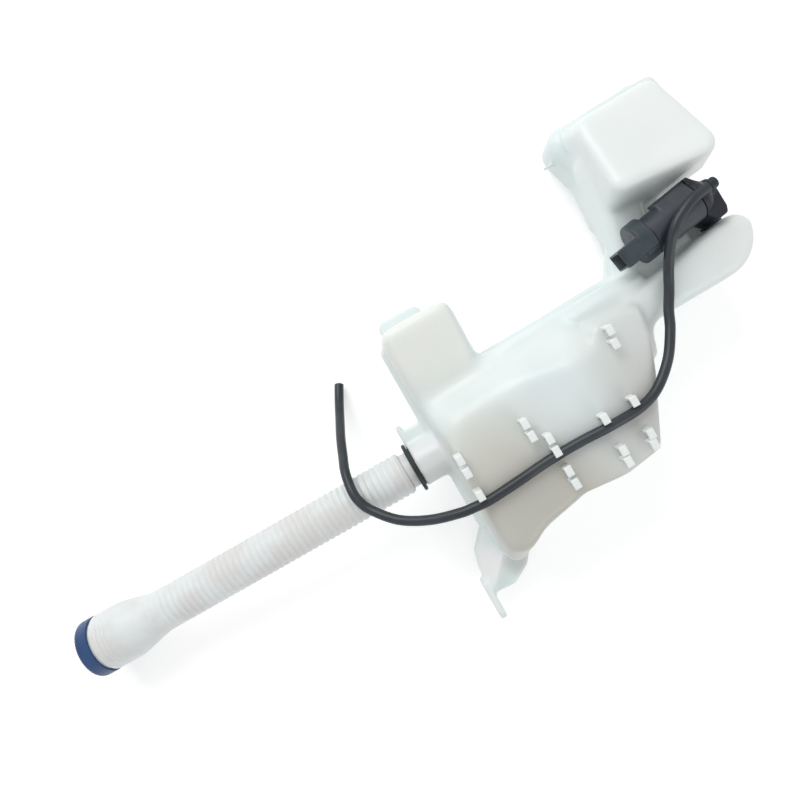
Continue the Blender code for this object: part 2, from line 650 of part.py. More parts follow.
def make_end_cap(parts, cutters, material):
    x0 = END_CAP_X0
    x1 = END_CAP_X1
    floor = x0 + END_CAP_FLOOR
    spigot_x = x1 + SPIGOT
    profile = [(x0, 0), (x0, END_CAP_R - 1.5), (x0 + 1.5, END_CAP_R), (x1 - 1, END_CAP_R), (x1, END_CAP_R - 1),
               (x1, 0)]
    cap = turned("pump_end_cap", profile, parts, material, PUMP_FRAME, sides=28, centre=(0, END_CAP_Y, 0))
    spigot = rod("end_cap_spigot", x1 - 2, spigot_x, MOTOR_R - MOTOR_WALL - GAP, cutters, frame=PUMP_FRAME)
    low = CONNECTOR_Y - CONNECTOR_W / 2
    high = CONNECTOR_Y + CONNECTOR_W / 2
    back = CONNECTOR_Z - CONNECTOR_H / 2
    top = CONNECTOR_Z + CONNECTOR_H / 2
    wall = CONNECTOR_WALL
    half = TERMINAL_T / 2 + GAP
    block = box("connector_block", (CONNECTOR_X0, low, back), (x1 - 0.8, high, top), cutters, frame=PUMP_FRAME)
    latch = box("connector_latch", (CONNECTOR_X0 + 4, low - 1.5, 2.0), (CONNECTOR_X0 + 12, low + 1, 10.0), cutters,
                frame=PUMP_FRAME)
    cavity = box("connector_cavity", (CONNECTOR_X0 - 1, low + wall, back + wall),
                 (x0 - 1.0, high - wall, top - wall), cutters, frame=PUMP_FRAME)
    pockets = [box("terminal_pocket_%d" % i, (x0 - 2, y - TERMINAL_W / 2 - GAP, CONNECTOR_Z - half),
                   (x0 + 1.5, y + TERMINAL_W / 2 + GAP, CONNECTOR_Z + half), cutters, frame=PUMP_FRAME)
               for i, y in enumerate((CONNECTOR_Y + TERMINAL_Y, CONNECTOR_Y - TERMINAL_Y))]
    inside = rod("end_cap_inside", floor, spigot_x + 1, END_CAP_CAVITY_R, cutters, frame=PUMP_FRAME)
    boss = ring_solid("end_cap_boss", floor - 1, floor + 6.5, 4.0 + GAP, 6.5, cutters, frame=PUMP_FRAME)
    pit = rod("end_cap_pit", floor - 0.6, floor + 2, 4.0 + GAP, cutters, frame=PUMP_FRAME)
    union(cap, [spigot, block, latch])
    cut(cap, [cavity, inside] + pockets)
    union(cap, [boss])
    cut(cap, [pit])
    return cap


def make_terminals(parts, material):
    # Blades that stand in the socket
    x0 = CONNECTOR_X0 + 6.0
    x1 = END_CAP_X0 + 1.5 - GAP
    for name, y in (("terminal_left", CONNECTOR_Y + TERMINAL_Y), ("terminal_right", CONNECTOR_Y - TERMINAL_Y)):
        low = (x0, y - TERMINAL_W / 2, CONNECTOR_Z - TERMINAL_T / 2)
        high = (x1, y + TERMINAL_W / 2, CONNECTOR_Z + TERMINAL_T / 2)
        box(name, low, high, parts, material, PUMP_FRAME)


def arc_magnet(name, middle, parts, material):
    outer = MOTOR_R - MOTOR_WALL - GAP - CAN_T - GAP
    inner = outer - MAGNET_T
    steps = 9
    spread = math.radians(136)
    ring = []
    for k in range(steps + 1):
        a = middle - spread / 2 + spread * k / steps
        ring.append((outer * math.cos(a), outer * math.sin(a)))
    for k in range(steps, -1, -1):
        a = middle - spread / 2 + spread * k / steps
        ring.append((inner * math.cos(a), inner * math.sin(a)))
    x0 = CORE_X - CORE_LENGTH / 2 - 2.5
    x1 = CORE_X + CORE_LENGTH / 2 + 2.5
    bm = bmesh.new()
    loft(bm, [[(x, a, b) for a, b in ring] for x in (x0, x1)])
    obj = make_object(name, bm, parts, material)
    obj.matrix_world = PUMP_FRAME


def make_rotor(parts, cutters, steel, copper, bronze):
    hub = bpy.data.objects.new("rotor_axis", None)
    hub.matrix_world = PUMP_FRAME
    parts.objects.link(hub)
    core_x0 = CORE_X - CORE_LENGTH / 2
    core_x1 = CORE_X + CORE_LENGTH / 2
    core_r = MOTOR_R - MOTOR_WALL - GAP - CAN_T - GAP - MAGNET_T - AIR_GAP
    shaft_x0 = END_CAP_X0 + END_CAP_FLOOR + 0.4
    shaft_x1 = MOTOR_X1 + GAP + CHAMBER - 1.0
    shaft = rod("rotor_shaft", shaft_x0, shaft_x1, SHAFT_R, parts, steel, sides=12)
    core = ring_solid("armature_core", core_x0, core_x1, SHAFT_R + GAP, core_r, parts, copper, sides=24)
    slots = []
    for k in range(3):
        slot = box("core_slot_%d" % k, (core_x0 - 2, -1.1, 4.5), (core_x1 + 2, 1.1, core_r + 2), cutters)
        slot.matrix_world = PUMP_FRAME @ Matrix.Rotation(k * 2 * math.pi / 3, 4, "X")
        slots.append(slot)
    cut(core, slots)
    commutator = ring_solid("commutator", core_x0 - 9.5, core_x0 - GAP, SHAFT_R + GAP, 4.2, parts, bronze,
                            sides=15)
    for piece in (shaft, core, commutator):
        piece.parent = hub
    return hub


def make_motor(parts, steel, ferrite, carbon, bronze):
    can_r = MOTOR_R - MOTOR_WALL - GAP
    can_x0 = END_CAP_X1 + SPIGOT + GAP
    can_x1 = MOTOR_X1 - MOTOR_END_T - GAP
    ring_solid("motor_can", can_x0, can_x1, can_r - CAN_T, can_r, parts, steel, PUMP_FRAME, sides=28)
    arc_magnet("magnet_upper", math.pi / 2, parts, ferrite)
    arc_magnet("magnet_lower", -math.pi / 2, parts, ferrite)

    # Brushes on their plate, both sides of the commutator
    brush_x = CORE_X - CORE_LENGTH / 2 - 7.0
    for name, side in (("brush_left", 1), ("brush_right", -1)):
        y0 = side * (4.2 + GAP)
        y1 = side * (END_CAP_CAVITY_R - 2.2)
        box(name, (brush_x - 2, min(y0, y1), -1.8), (brush_x + 2, max(y0, y1), 1.8), parts, carbon, PUMP_FRAME)
    ring_solid("brush_plate", brush_x - 4.0, brush_x - 2 - GAP, 5.2, END_CAP_CAVITY_R - GAP, parts, ferrite,
               PUMP_FRAME, sides=24)
    rear_x = END_CAP_X0 + END_CAP_FLOOR + 0.8
    ring_solid("rear_bush", rear_x, rear_x + 5.0, SHAFT_R + 0.05, 4.0, parts, bronze, PUMP_FRAME, sides=12)
    ring_solid("front_bush", MOTOR_X1 - MOTOR_END_T + 0.2, MOTOR_X1 - 0.2, SHAFT_R + 0.05, 4.0, parts, bronze,
               PUMP_FRAME, sides=12)


def make_impeller(parts, cutters, hub, material):
    x0 = MOTOR_X1 + 4.0
    bore = SHAFT_R + GAP
    profile = [(x0, bore), (x0, WHEEL_R), (x0 + 1.3, WHEEL_R), (x0 + 1.3, 3.4), (x0 + 4.6, 3.4), (x0 + 4.6, bore)]
    wheel = turned("impeller", profile, parts, material, sides=24)
    blades = []
    for k in range(6):
        blade = box("impeller_blade_%d" % k, (x0 + 0.6, -0.6, 2.9), (x0 + 4.2, 0.6, WHEEL_R - 0.4), cutters)
        blade.matrix_world = PUMP_FRAME @ Matrix.Rotation(k * math.pi / 3, 4, "X")
        blades.append(blade)
    union(wheel, blades)
    wheel.parent = hub
    return wheel


def make_seal(parts, material):
    x0 = MOTOR_X1 + GAP
    ring_solid("shaft_seal", x0, x0 + 3.0, SHAFT_R + 0.1, 5.5, parts, material, PUMP_FRAME, sides=16)


def make_head(parts, cutters, material):
    x0 = MOTOR_X1 + GAP
    chamber_x1 = x0 + CHAMBER
    profile = [(chamber_x1, 0), (chamber_x1, CHAMBER_R), (x0, CHAMBER_R), (x0, HEAD_R), (x0 + 5.0, HEAD_R),
               (x0 + 8.0, HEAD_R - 1.6), (x0 + 12.5, HEAD_R - 6.6), (HEAD_X1, HEAD_R - 8.2), (HEAD_X1, 0)]
    head = turned("pump_head", profile, parts, material, PUMP_FRAME, sides=28)
    fan_y = SEAT_Y + 1.5 + 2 * GAP
    fan = plate("head_fan", [(x0 + 0.2, -HEAD_R - 0.3, 1), (26, fan_y, 2.5), (34.5, fan_y, 3),
                             (HEAD_X1 - 1.4, -HEAD_R - 2.8, 2), (HEAD_X1 + 1.2, 0, 3), (33, 8, 3),
                             (x0 + 0.2, 7, 1)],
                -INLET_DROP - 7.5, 6.0, cutters)
    fan.matrix_world = PUMP_FRAME
    lug = plate("head_lug", [(x0, 10, 0.5), (30, 9, 1), (23.5, RAIL_Y, 1.5), (x0, RAIL_Y, 0.5)], -6.0, 9.0, cutters)
    lug.matrix_world = PUMP_FRAME
    z = -INLET_DROP
    riser_x = OUTLET_X1 - 3.0
    nozzle = rod("inlet_nozzle", SEAT_Y - 9.0, -12.0, INLET_R, cutters, frame=PUMP_FRAME, sides=16,
                 centre=(INLET_X, 0, z), axis="Y")
    riser = rod("outlet_riser", 5.0, OUTLET_RISE, OUTLET_R - 1.2, cutters, frame=PUMP_FRAME, sides=16,
                centre=(riser_x, OUTLET_Y, 0), axis="Z")
    pipe = turned("outlet_pipe", [(OUTLET_X0, 0), (OUTLET_X0, OUTLET_R), (OUTLET_X1 - 1.5, OUTLET_R),
                                  (OUTLET_X1, OUTLET_R - 1.5), (OUTLET_X1, 0)], cutters, frame=PUMP_FRAME,
                  sides=16, centre=(0, OUTLET_Y, OUTLET_RISE))
    union(head, [fan, lug, nozzle, riser, pipe])
    chamber = rod("impeller_chamber", x0 - 1, chamber_x1, CHAMBER_R, cutters, frame=PUMP_FRAME, sides=28)
    inlet = rod("inlet_bore", SEAT_Y - 12.0, -8.0, INLET_BORE, cutters, frame=PUMP_FRAME, sides=12,
                centre=(INLET_X, 0, z), axis="Y")
    lift = rod("inlet_lift", z, 0.5, INLET_BORE - 0.2, cutters, frame=PUMP_FRAME, sides=12,
               centre=(INLET_X, -8.0, 0), axis="Z")
    way_in = rod("inlet_eye", chamber_x1 - 1, INLET_X, INLET_BORE - 0.4, cutters, frame=PUMP_FRAME, sides=12,
                 centre=(0, -6.5, -1.5))
    drop = rod("outlet_drop", 5.5, OUTLET_RISE, OUTLET_BORE - 0.2, cutters, frame=PUMP_FRAME, sides=12,
               centre=(riser_x, OUTLET_Y, 0), axis="Z")
    way_up = rod("outlet_eye", chamber_x1 - 1, riser_x, OUTLET_BORE - 0.4, cutters, frame=PUMP_FRAME, sides=12,
                 centre=(0, OUTLET_Y, 6.6))
    way_out = rod("outlet_bore", OUTLET_X0 - 2, riser_x, OUTLET_BORE, cutters, frame=PUMP_FRAME,
                  sides=12, centre=(0, OUTLET_Y, OUTLET_RISE))
    cut(head, [chamber, inlet, lift, way_in, drop, way_up, way_out])
    return head


def make_grommet(parts, material):
    # Rubber ring with a groove that holds the tank wall
    bore = INLET_R + GAP
    groove = GROMMET_HOLE_R - GAP
    y_out = SEAT_Y + GAP
    y_in = SEAT_Y - WALL - 1.6
    profile = [(y_in - 3.0, bore), (y_in - 3.0, groove - 1.0), (y_in - 0.5, groove + 1.6), (y_in, groove + 1.6),
               (y_in, groove), (y_out + 0.3, groove), (y_out + 0.3, GROMMET_R), (y_out + 1.5, GROMMET_R),
               (y_out + 1.5, bore)]
    return turned("inlet_grommet", profile, parts, material, PUMP_FRAME, sides=20,
                  centre=(INLET_X, 0, -INLET_DROP), axis="Y")


def make_strainer(parts, cutters, material):
    # Cup over the nozzle's end, with slots in its wall
    y1 = SEAT_Y - 9.0 - GAP
    y0 = y1 - 9.0
    r = INLET_R + 1.6
    profile = [(y0, 0), (y0, r), (y1, r), (y1, r - 1.2), (y0 + 1.2, r - 1.2), (y0 + 1.2, 0)]
    cup = turned("inlet_strainer", profile, parts, material, PUMP_FRAME, sides=16,
                 centre=(INLET_X, 0, -INLET_DROP), axis="Y")
    slots = []
    for k in range(4):
        slot = box("strainer_slot_%d" % k, (-0.9, y0 + 2.4, r - 2.4), (0.9, y1 - 1.6, r + 2), cutters)
        place = Matrix.Translation(Vector((INLET_X, 0, -INLET_DROP)) * MM)
        slot.matrix_world = PUMP_FRAME @ place @ Matrix.Rotation(k * math.pi / 2, 4, "Y")
        slots.append(slot)
    cut(cup, slots)
    return cup


# Hose

HOSE_ROUTE = [(166.2, 110.3, 130.2), (158.9, 108.7, 130.4), (150.2, 105.2, 130.4), (141.6, 100.4, 130.0),
              (134.3, 93.4, 128.0), (130.3, 87.6, 124.2), (127.1, 80.6, 119.2), (122.2, 69.0, 113), (116.8, 56.3, 109), (108.8, 42.3, 108),
              (101.5, 28.1, 109.2), (86.8, 8.7, 112.3), (66.8, -6.5, 115.9), (47.4, -12.2, 118.9),
              (19.2, -12.4, 122.9), (-8.2, -11.6, 120.9), (-35.9, -12.4, 118.4), (-64.6, -14.6, 118.1),
              (-92.0, -16.1, 118.1), (-104.8, -15.2, 117.8), (-117.6, -13.7, 115.3), (-141.3, -7.9, 106.5),
              (-163.8, 3.2, 95.5), (-180.4, 20.7, 86.5), (-186.0, 33.1, 83.6), (-186.8, 43.7, 80),
              (-184.8, 58.4, 71), (-181.0, 70.5, 58), (-176.3, 84.6, 42), (-170.1, 99.2, 26),
              (-163.5, 113.9, 13), (-156.2, 128.2, 5.2)]
HOSE_STEPS = 2


def smooth_route(points):
    # Points of a smooth curve through the route, a few for each stretch
    route = [Vector(p) for p in points]
    route = [route[0] * 2 - route[1]] + route + [route[-1] * 2 - route[-2]]
    made = []
    for a, b, c, d in zip(route, route[1:], route[2:], route[3:]):
        for k in range(HOSE_STEPS):
            t = k / HOSE_STEPS
            made.append(0.5 * ((2 * b) + (c - a) * t + (2 * a - 5 * b + 4 * c - d) * t * t
                               + (3 * b - a - 3 * c + d) * t ** 3))
    made.append(route[-2])
    return made


def make_hose(parts, material):
    start = PUMP_FRAME @ (Vector((OUTLET_X0 - GAP, OUTLET_Y, OUTLET_RISE)) * MM) / MM
    points = smooth_route([tuple(start)] + HOSE_ROUTE)
    data = bpy.data.curves.new("washer_hose", "CURVE")
    data.dimensions = "3D"
    data.bevel_depth = HOSE_D / 2 * MM
    data.bevel_resolution = 2
    data.use_fill_caps = True
    spline = data.splines.new("POLY")
    spline.points.add(len(points) - 1)
    for spot, point in zip(spline.points, points):
        spot.co = (*(point * MM), 1.0)
    data.materials.append(material)
    obj = bpy.data.objects.new("washer_hose", data)
    parts.objects.link(obj)
    return obj


def main():
    clear_scene()
    parts = new_collection("washer_fluid_reservoir")
    cutters = new_collection("cutters")
    milky = plastic("milky_polyethylene", (0.84, 0.86, 0.83), 0.38)
    cream = plastic("tube_polyethylene", (0.80, 0.80, 0.76), 0.42)
    black_rubber = plastic("black_rubber", (0.02, 0.022, 0.025), 0.55)
    blue = plastic("blue_cap", (0.02, 0.09, 0.28), 0.35)
    liner = plastic("grey_foam", (0.35, 0.35, 0.36), 0.8)
    black = plastic("black_nylon", (0.022, 0.024, 0.028), 0.45)
    steel = plastic("steel", (0.5, 0.5, 0.5), 0.35, 1.0)
    ferrite = plastic("ferrite", (0.06, 0.06, 0.065), 0.6)
    copper = plastic("copper", (0.7, 0.3, 0.15), 0.4, 1.0)
    bronze = plastic("bronze", (0.6, 0.42, 0.2), 0.4, 1.0)
    carbon = plastic("carbon", (0.03, 0.03, 0.03), 0.7)
    white = plastic("white_nylon", (0.75, 0.75, 0.72), 0.5)

    make_tank(parts, cutters, milky)
    make_tube(parts, cream)
    make_gasket(parts, black_rubber)
    make_cap(parts, blue, liner)
    make_housing(parts, cutters, black)
    make_end_cap(parts, cutters, black)
    make_terminals(parts, bronze)
    make_motor(parts, steel, ferrite, carbon, bronze)
    hub = make_rotor(parts, cutters, steel, copper, bronze)
    make_impeller(parts, cutters, hub, white)
    make_seal(parts, black_rubber)
    make_head(parts, cutters, black)
    make_grommet(parts, black_rubber)
    make_strainer(parts, cutters, white)
    make_hose(parts, black_rubber)
    bpy.context.view_layer.update()


main()
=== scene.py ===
import json
import math
from functools import partial

import bmesh
import bpy
import numpy as np
from mathutils import Matrix, Vector

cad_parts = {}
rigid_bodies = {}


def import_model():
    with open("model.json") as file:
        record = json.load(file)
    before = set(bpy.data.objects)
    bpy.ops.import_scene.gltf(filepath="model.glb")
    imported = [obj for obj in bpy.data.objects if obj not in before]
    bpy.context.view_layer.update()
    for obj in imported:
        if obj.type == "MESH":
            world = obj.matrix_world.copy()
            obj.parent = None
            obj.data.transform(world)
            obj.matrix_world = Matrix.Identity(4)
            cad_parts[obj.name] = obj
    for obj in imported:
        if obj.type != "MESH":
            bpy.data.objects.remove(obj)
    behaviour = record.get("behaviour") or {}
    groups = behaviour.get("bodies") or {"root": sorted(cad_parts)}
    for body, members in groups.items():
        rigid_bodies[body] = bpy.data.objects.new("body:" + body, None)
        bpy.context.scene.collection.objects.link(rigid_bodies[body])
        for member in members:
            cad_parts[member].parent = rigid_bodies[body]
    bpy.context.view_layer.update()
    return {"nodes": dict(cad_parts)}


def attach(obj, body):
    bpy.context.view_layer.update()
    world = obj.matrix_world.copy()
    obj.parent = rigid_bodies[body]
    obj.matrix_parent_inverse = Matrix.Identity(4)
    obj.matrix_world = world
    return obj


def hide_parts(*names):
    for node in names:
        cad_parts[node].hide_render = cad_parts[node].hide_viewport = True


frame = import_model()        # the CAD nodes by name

mm = 0.001
print("frame loaded:", len(frame["nodes"]), "nodes")


def addObject(name, data):
    obj = bpy.data.objects.new(name, data)
    bpy.context.scene.collection.objects.link(obj)
    return obj


# Camera

view = {
    "place": (-0.114, 0.08775, 0.750),   # straight above the tank's left part
    "turn": -30.0,                       # degrees about the line of sight
    "lens": 36.0,
    "sensor": 36.0,
    "clip": (0.01, 20.0),
}


def makeCamera(settings):
    data = bpy.data.cameras.new("viewCamera")
    data.lens = settings["lens"]
    data.sensor_width = settings["sensor"]
    data.clip_start, data.clip_end = settings["clip"]
    camera = addObject("viewCamera", data)
    camera.location = settings["place"]
    camera.rotation_euler = (0.0, 0.0, math.radians(settings["turn"]))
    bpy.context.scene.camera = camera


makeCamera(view)
print("camera ready")


# Mesh helpers, all in millimetres until an object is made

def makeObject(name, bm, material=None, place=None):
    bmesh.ops.recalc_face_normals(bm, faces=bm.faces)
    mesh = bpy.data.meshes.new(name)
    bm.to_mesh(mesh)
    bm.free()
    mesh.transform(Matrix.Scale(mm, 4))
    if place is not None:
        mesh.transform(place)
    obj = addObject(name, mesh)
    if material is not None:
        mesh.materials.append(material)
    return obj


def shadeByAngle(obj, degrees):
    bm = bmesh.new()
    bm.from_mesh(obj.data)
    limit = math.radians(degrees)
    for face in bm.faces:
        face.smooth = True
    for edge in bm.edges:
        edge.smooth = len(edge.link_faces) == 2 and edge.calc_face_angle(0.0) < limit
    bm.to_mesh(obj.data)
    bm.free()


def settle(obj):
    # The result of the modifiers becomes the mesh
    graph = bpy.context.evaluated_depsgraph_get()
    mesh = bpy.data.meshes.new_from_object(obj.evaluated_get(graph))
    obj.modifiers.clear()
    obj.data = mesh
    return obj


def bevelled(obj, width, segments=3, angle=30.0):
    bevel = obj.modifiers.new("soften", "BEVEL")
    bevel.width = width * mm
    bevel.segments = segments
    bevel.limit_method = "ANGLE"
    bevel.angle_limit = math.radians(angle)
    return settle(obj)


def carve(obj, cutters):
    for cutter in cutters:
        boolean = obj.modifiers.new("carve", "BOOLEAN")
        boolean.operation = "DIFFERENCE"
        boolean.solver = "EXACT"
        boolean.object = cutter
        settle(obj)
        bpy.data.objects.remove(cutter)
    return obj


def relax(mesh, rounds, softness=None):
    # Averages each point with its neighbours, which rounds the edges and fills the valleys.
    # softness takes the points and gives how much each one moves, from 0 to 1
    count = len(mesh.vertices)
    flat = np.empty(count * 3)
    mesh.vertices.foreach_get("co", flat)
    points = flat.reshape(-1, 3)
    pairs = np.empty(len(mesh.edges) * 2, np.int64)
    mesh.edges.foreach_get("vertices", pairs)
    a, b = pairs.reshape(-1, 2).T
    links = np.maximum(np.bincount(a, minlength=count) + np.bincount(b, minlength=count), 1)
    strength = 0.5 * (softness(points / mm) if softness else np.ones(count))
    for _ in range(rounds):
        for axis in range(3):
            column = points[:, axis]
            total = np.bincount(a, column[b], count) + np.bincount(b, column[a], count)
            column += strength * (total / links - column)
    mesh.vertices.foreach_set("co", points.ravel())
    mesh.update()


def fuse(name, pieces, voxel, rounds, material=None, softness=None):
    # One closed skin round overlapping closed shapes
    bm = bmesh.new()
    for piece in pieces:
        bm.from_mesh(piece.data)
        bpy.data.objects.remove(piece)
    mesh = bpy.data.meshes.new(name)
    bm.to_mesh(mesh)
    bm.free()
    obj = addObject(name, mesh)
    remesh = obj.modifiers.new("skin", "REMESH")
    remesh.mode = "VOXEL"
    remesh.voxel_size = voxel * mm
    settle(obj)
    relax(obj.data, rounds, softness)
    obj.data.materials.clear()
    if material is not None:
        obj.data.materials.append(material)
    for face in obj.data.polygons:
        face.use_smooth = True
    return obj


def bridge(bm, low, high):
    # Faces between two rings of points
    count = len(low)
    for i in range(count):
        j = (i + 1) % count
        bm.faces.new((low[i], low[j], high[j], high[i]))


def lofted(name, rings, place=None):
    # A closed shape through rings of points
    bm = bmesh.new()
    rows = [[bm.verts.new(p) for p in ring] for ring in rings]
    for low, high in zip(rows, rows[1:]):
        bridge(bm, low, high)
    bm.faces.new(list(reversed(rows[0])))
    bm.faces.new(rows[-1])
    return makeObject(name, bm, place=place)


def box(name, low, high, place=None):
    bm = bmesh.new()
    bmesh.ops.create_cube(bm, size=1.0)
    bmesh.ops.scale(bm, vec=[b - a for a, b in zip(low, high)], verts=bm.verts)
    bmesh.ops.translate(bm, vec=[(a + b) / 2 for a, b in zip(low, high)], verts=bm.verts)
    return makeObject(name, bm, place=place)


def turned(name, profile, sides=64, place=None, centre=(0, 0, 0), axis="X", material=None):
    # Turns (along, radius) points about an axis; a profile from axis to axis is a solid, any other a ring
    solid = profile[0][1] == 0
    if solid:
        profile = profile[1:-1]
    bm = bmesh.new()
    angles = [2 * math.pi * k / sides for k in range(sides)]
    rows = [[bm.verts.new((x, r * math.cos(a), r * math.sin(a))) for a in angles] for x, r in profile]
    pairs = list(zip(rows, rows[1:]))
    if solid:
        bm.faces.new(rows[0])
        bm.faces.new(rows[-1])
    else:
        pairs.append((rows[-1], rows[0]))
    for low, high in pairs:
        bridge(bm, low, high)
    if axis != "X":
        turn = (math.pi / 2, 3, "Z") if axis == "Y" else (-math.pi / 2, 3, "Y")
        bmesh.ops.rotate(bm, matrix=Matrix.Rotation(*turn), verts=bm.verts)
    bmesh.ops.translate(bm, vec=centre, verts=bm.verts)
    return makeObject(name, bm, material, place)


def rod(name, x0, x1, radius, **options):
    return turned(name, [(x0, 0), (x0, radius), (x1, radius), (x1, 0)], **options)


def finishPiece(obj, body, slot, *nodes, angle=None):
    if angle is not None:
        shadeByAngle(obj, angle)
    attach(obj, body)
    if nodes:
        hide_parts(*nodes)
    print("made", obj.name, len(obj.data.polygons), "faces")
    return obj


# Node helpers

def feed(tree, socket, value):
    if isinstance(value, bpy.types.NodeSocket):
        tree.links.new(value, socket)
    else:
        socket.default_value = value


def feedAll(tree, node, feeds):
    # feeds gives inputs, by name or number, their values or the sockets that they take
    for key, value in feeds.items():
        feed(tree, node.inputs[key], value)


def addNode(tree, kind, feeds=None, **settings):
    node = tree.nodes.new(kind)
    node.location = (180 * len(tree.nodes), 0)
    for key, value in settings.items():
        setattr(node, key, value)
    feedAll(tree, node, feeds or {})
    return node


def calc(tree, operation, *values, clamp=False):
    node = addNode(tree, "ShaderNodeMath", dict(enumerate(values)), operation=operation, use_clamp=clamp)
    return node.outputs[0]


def ramp(tree, value, fromLow, fromHigh, toLow, toHigh, smooth=False):
    levels = {"Value": value, "From Min": fromLow, "From Max": fromHigh, "To Min": toLow, "To Max": toHigh}
    kind = "SMOOTHSTEP" if smooth else "LINEAR"
    return addNode(tree, "ShaderNodeMapRange", levels, interpolation_type=kind).outputs["Result"]


def newGroup(name, kind, inputs, outputs):
    # inputs gives each input its default, or the kind of its socket where it has none
    tree = bpy.data.node_groups.new(name, kind)
    kinds = {float: "Float", int: "Int", tuple: "Vector"}
    for label, default in inputs.items():
        socketKind = "NodeSocket" + kinds.get(type(default), default)
        socket = tree.interface.new_socket(label, in_out="INPUT", socket_type=socketKind)
        if type(default) in kinds:
            socket.default_value = default
    for label, socketKind in outputs.items():
        tree.interface.new_socket(label, in_out="OUTPUT", socket_type="NodeSocket" + socketKind)
    return tree, addNode(tree, "NodeGroupInput").outputs, addNode(tree, "NodeGroupOutput").inputs


def objectPlace(tree):
    return addNode(tree, "ShaderNodeTexCoord").outputs["Object"]


def noise(tree, scale, detail):
    feeds = {"Vector": objectPlace(tree), "Scale": scale, "Detail": detail}
    return addNode(tree, "ShaderNodeTexNoise", feeds).outputs["Fac"]


# Shared surface effects

def makeCloudGroup():
    # Slow unevenness of a blown or moulded wall, as a mask from 0 to 1
    tree, given, result = newGroup("cloudiness", "ShaderNodeTree", {"Scale": 20.0, "Low": 0.4, "High": 0.6},
                                   {"Mask": "Float"})
    mask = ramp(tree, noise(tree, given["Scale"], 3.0), given["Low"], given["High"], 0.0, 1.0, True)
    tree.links.new(mask, result["Mask"])
    return tree


def makeGrainGroup():
    # Fine grain of a moulded surface: a height for the bump and a small shift of the roughness
    tree, given, result = newGroup("fineGrain", "ShaderNodeTree",
                                   {"Scale": 900.0, "Height": 0.3, "Shift": 0.1},
                                   {"Height": "Float", "Shift": "Float"})
    fine = noise(tree, given["Scale"], 4.0)
    broad = noise(tree, calc(tree, "MULTIPLY", given["Scale"], 0.08), 2.0)
    tree.links.new(calc(tree, "MULTIPLY", fine, given["Height"]), result["Height"])
    centred = calc(tree, "SUBTRACT", broad, 0.5)
    tree.links.new(calc(tree, "MULTIPLY", centred, given["Shift"]), result["Shift"])
    return tree


def makePatchGroup():
    # A soft round patch about a point
    tree, given, result = newGroup("softPatch", "ShaderNodeTree",
                                   {"Centre": (0.0, 0.0, 0.0), "Radius": 0.05, "Strength": 1.0},
                                   {"Mask": "Float"})
    ends = {0: objectPlace(tree), 1: given["Centre"]}
    distance = addNode(tree, "ShaderNodeVectorMath", ends, operation="DISTANCE")
    core = calc(tree, "MULTIPLY", given["Radius"], 0.35)
    mask = ramp(tree, distance.outputs["Value"], core, given["Radius"], given["Strength"], 0.0, True)
    tree.links.new(mask, result["Mask"])
    return tree


cloudGroup = makeCloudGroup()
grainGroup = makeGrainGroup()
patchGroup = makePatchGroup()


def placeGroup(tree, group, **values):
    return addNode(tree, "ShaderNodeGroup", values, node_tree=group).outputs


def mixColors(tree, factor, first, second):
    # A Mix node has sockets of every type under the same names, and only those in use are enabled
    node = addNode(tree, "ShaderNodeMix", data_type="RGBA")
    sockets = [s for s in node.inputs if s.enabled]
    for socket, value in zip(sockets, (factor, first, second)):
        feed(tree, socket, (*value, 1.0) if isinstance(value, tuple) else value)
    return next(s for s in node.outputs if s.enabled)


cloudEdges = {"Low": 0.38, "High": 0.62}
bumpDepth = 0.00012


def makeFinish(name, tone, tint, cloudScale, grainScale, glossShift, roughness, strength, more=None):
    # A moulded finish: two mixed tones, soft round spots of painted shade, painted light and tone, grain and
    # a little unevenness of the gloss
    material = bpy.data.materials.new(name)
    material.use_nodes = True
    tree = material.node_tree
    cloud = placeGroup(tree, cloudGroup, Scale=cloudScale, **cloudEdges)
    color = mixColors(tree, cloud["Mask"], tone, tint)
    # Each soft spot mixes its tone over the colour: on the tank these are painted shade, painted light and
    # darker tones
    for centre, radius, share, patchTone in tintsAndPaintedLight.get(name, []):
        patch = placeGroup(tree, patchGroup, Centre=centre, Radius=radius, Strength=share)
        color = mixColors(tree, patch["Mask"], color, patchTone)
    grain = placeGroup(tree, grainGroup, Scale=grainScale, Height=1.0, Shift=glossShift)
    heights = {"Strength": strength, "Distance": bumpDepth, "Height": grain["Height"]}
    bump = addNode(tree, "ShaderNodeBump", heights)
    feeds = {"Base Color": color, "Roughness": calc(tree, "ADD", grain["Shift"], roughness),
             "Normal": bump.outputs["Normal"], **(more or {})}
    feedAll(tree, tree.nodes["Principled BSDF"], feeds)
    return material


def milky(weight, radius, scale):
    return {"Subsurface Weight": weight, "Subsurface Radius": radius, "Subsurface Scale": scale}


metal = {"Metallic": 1.0}

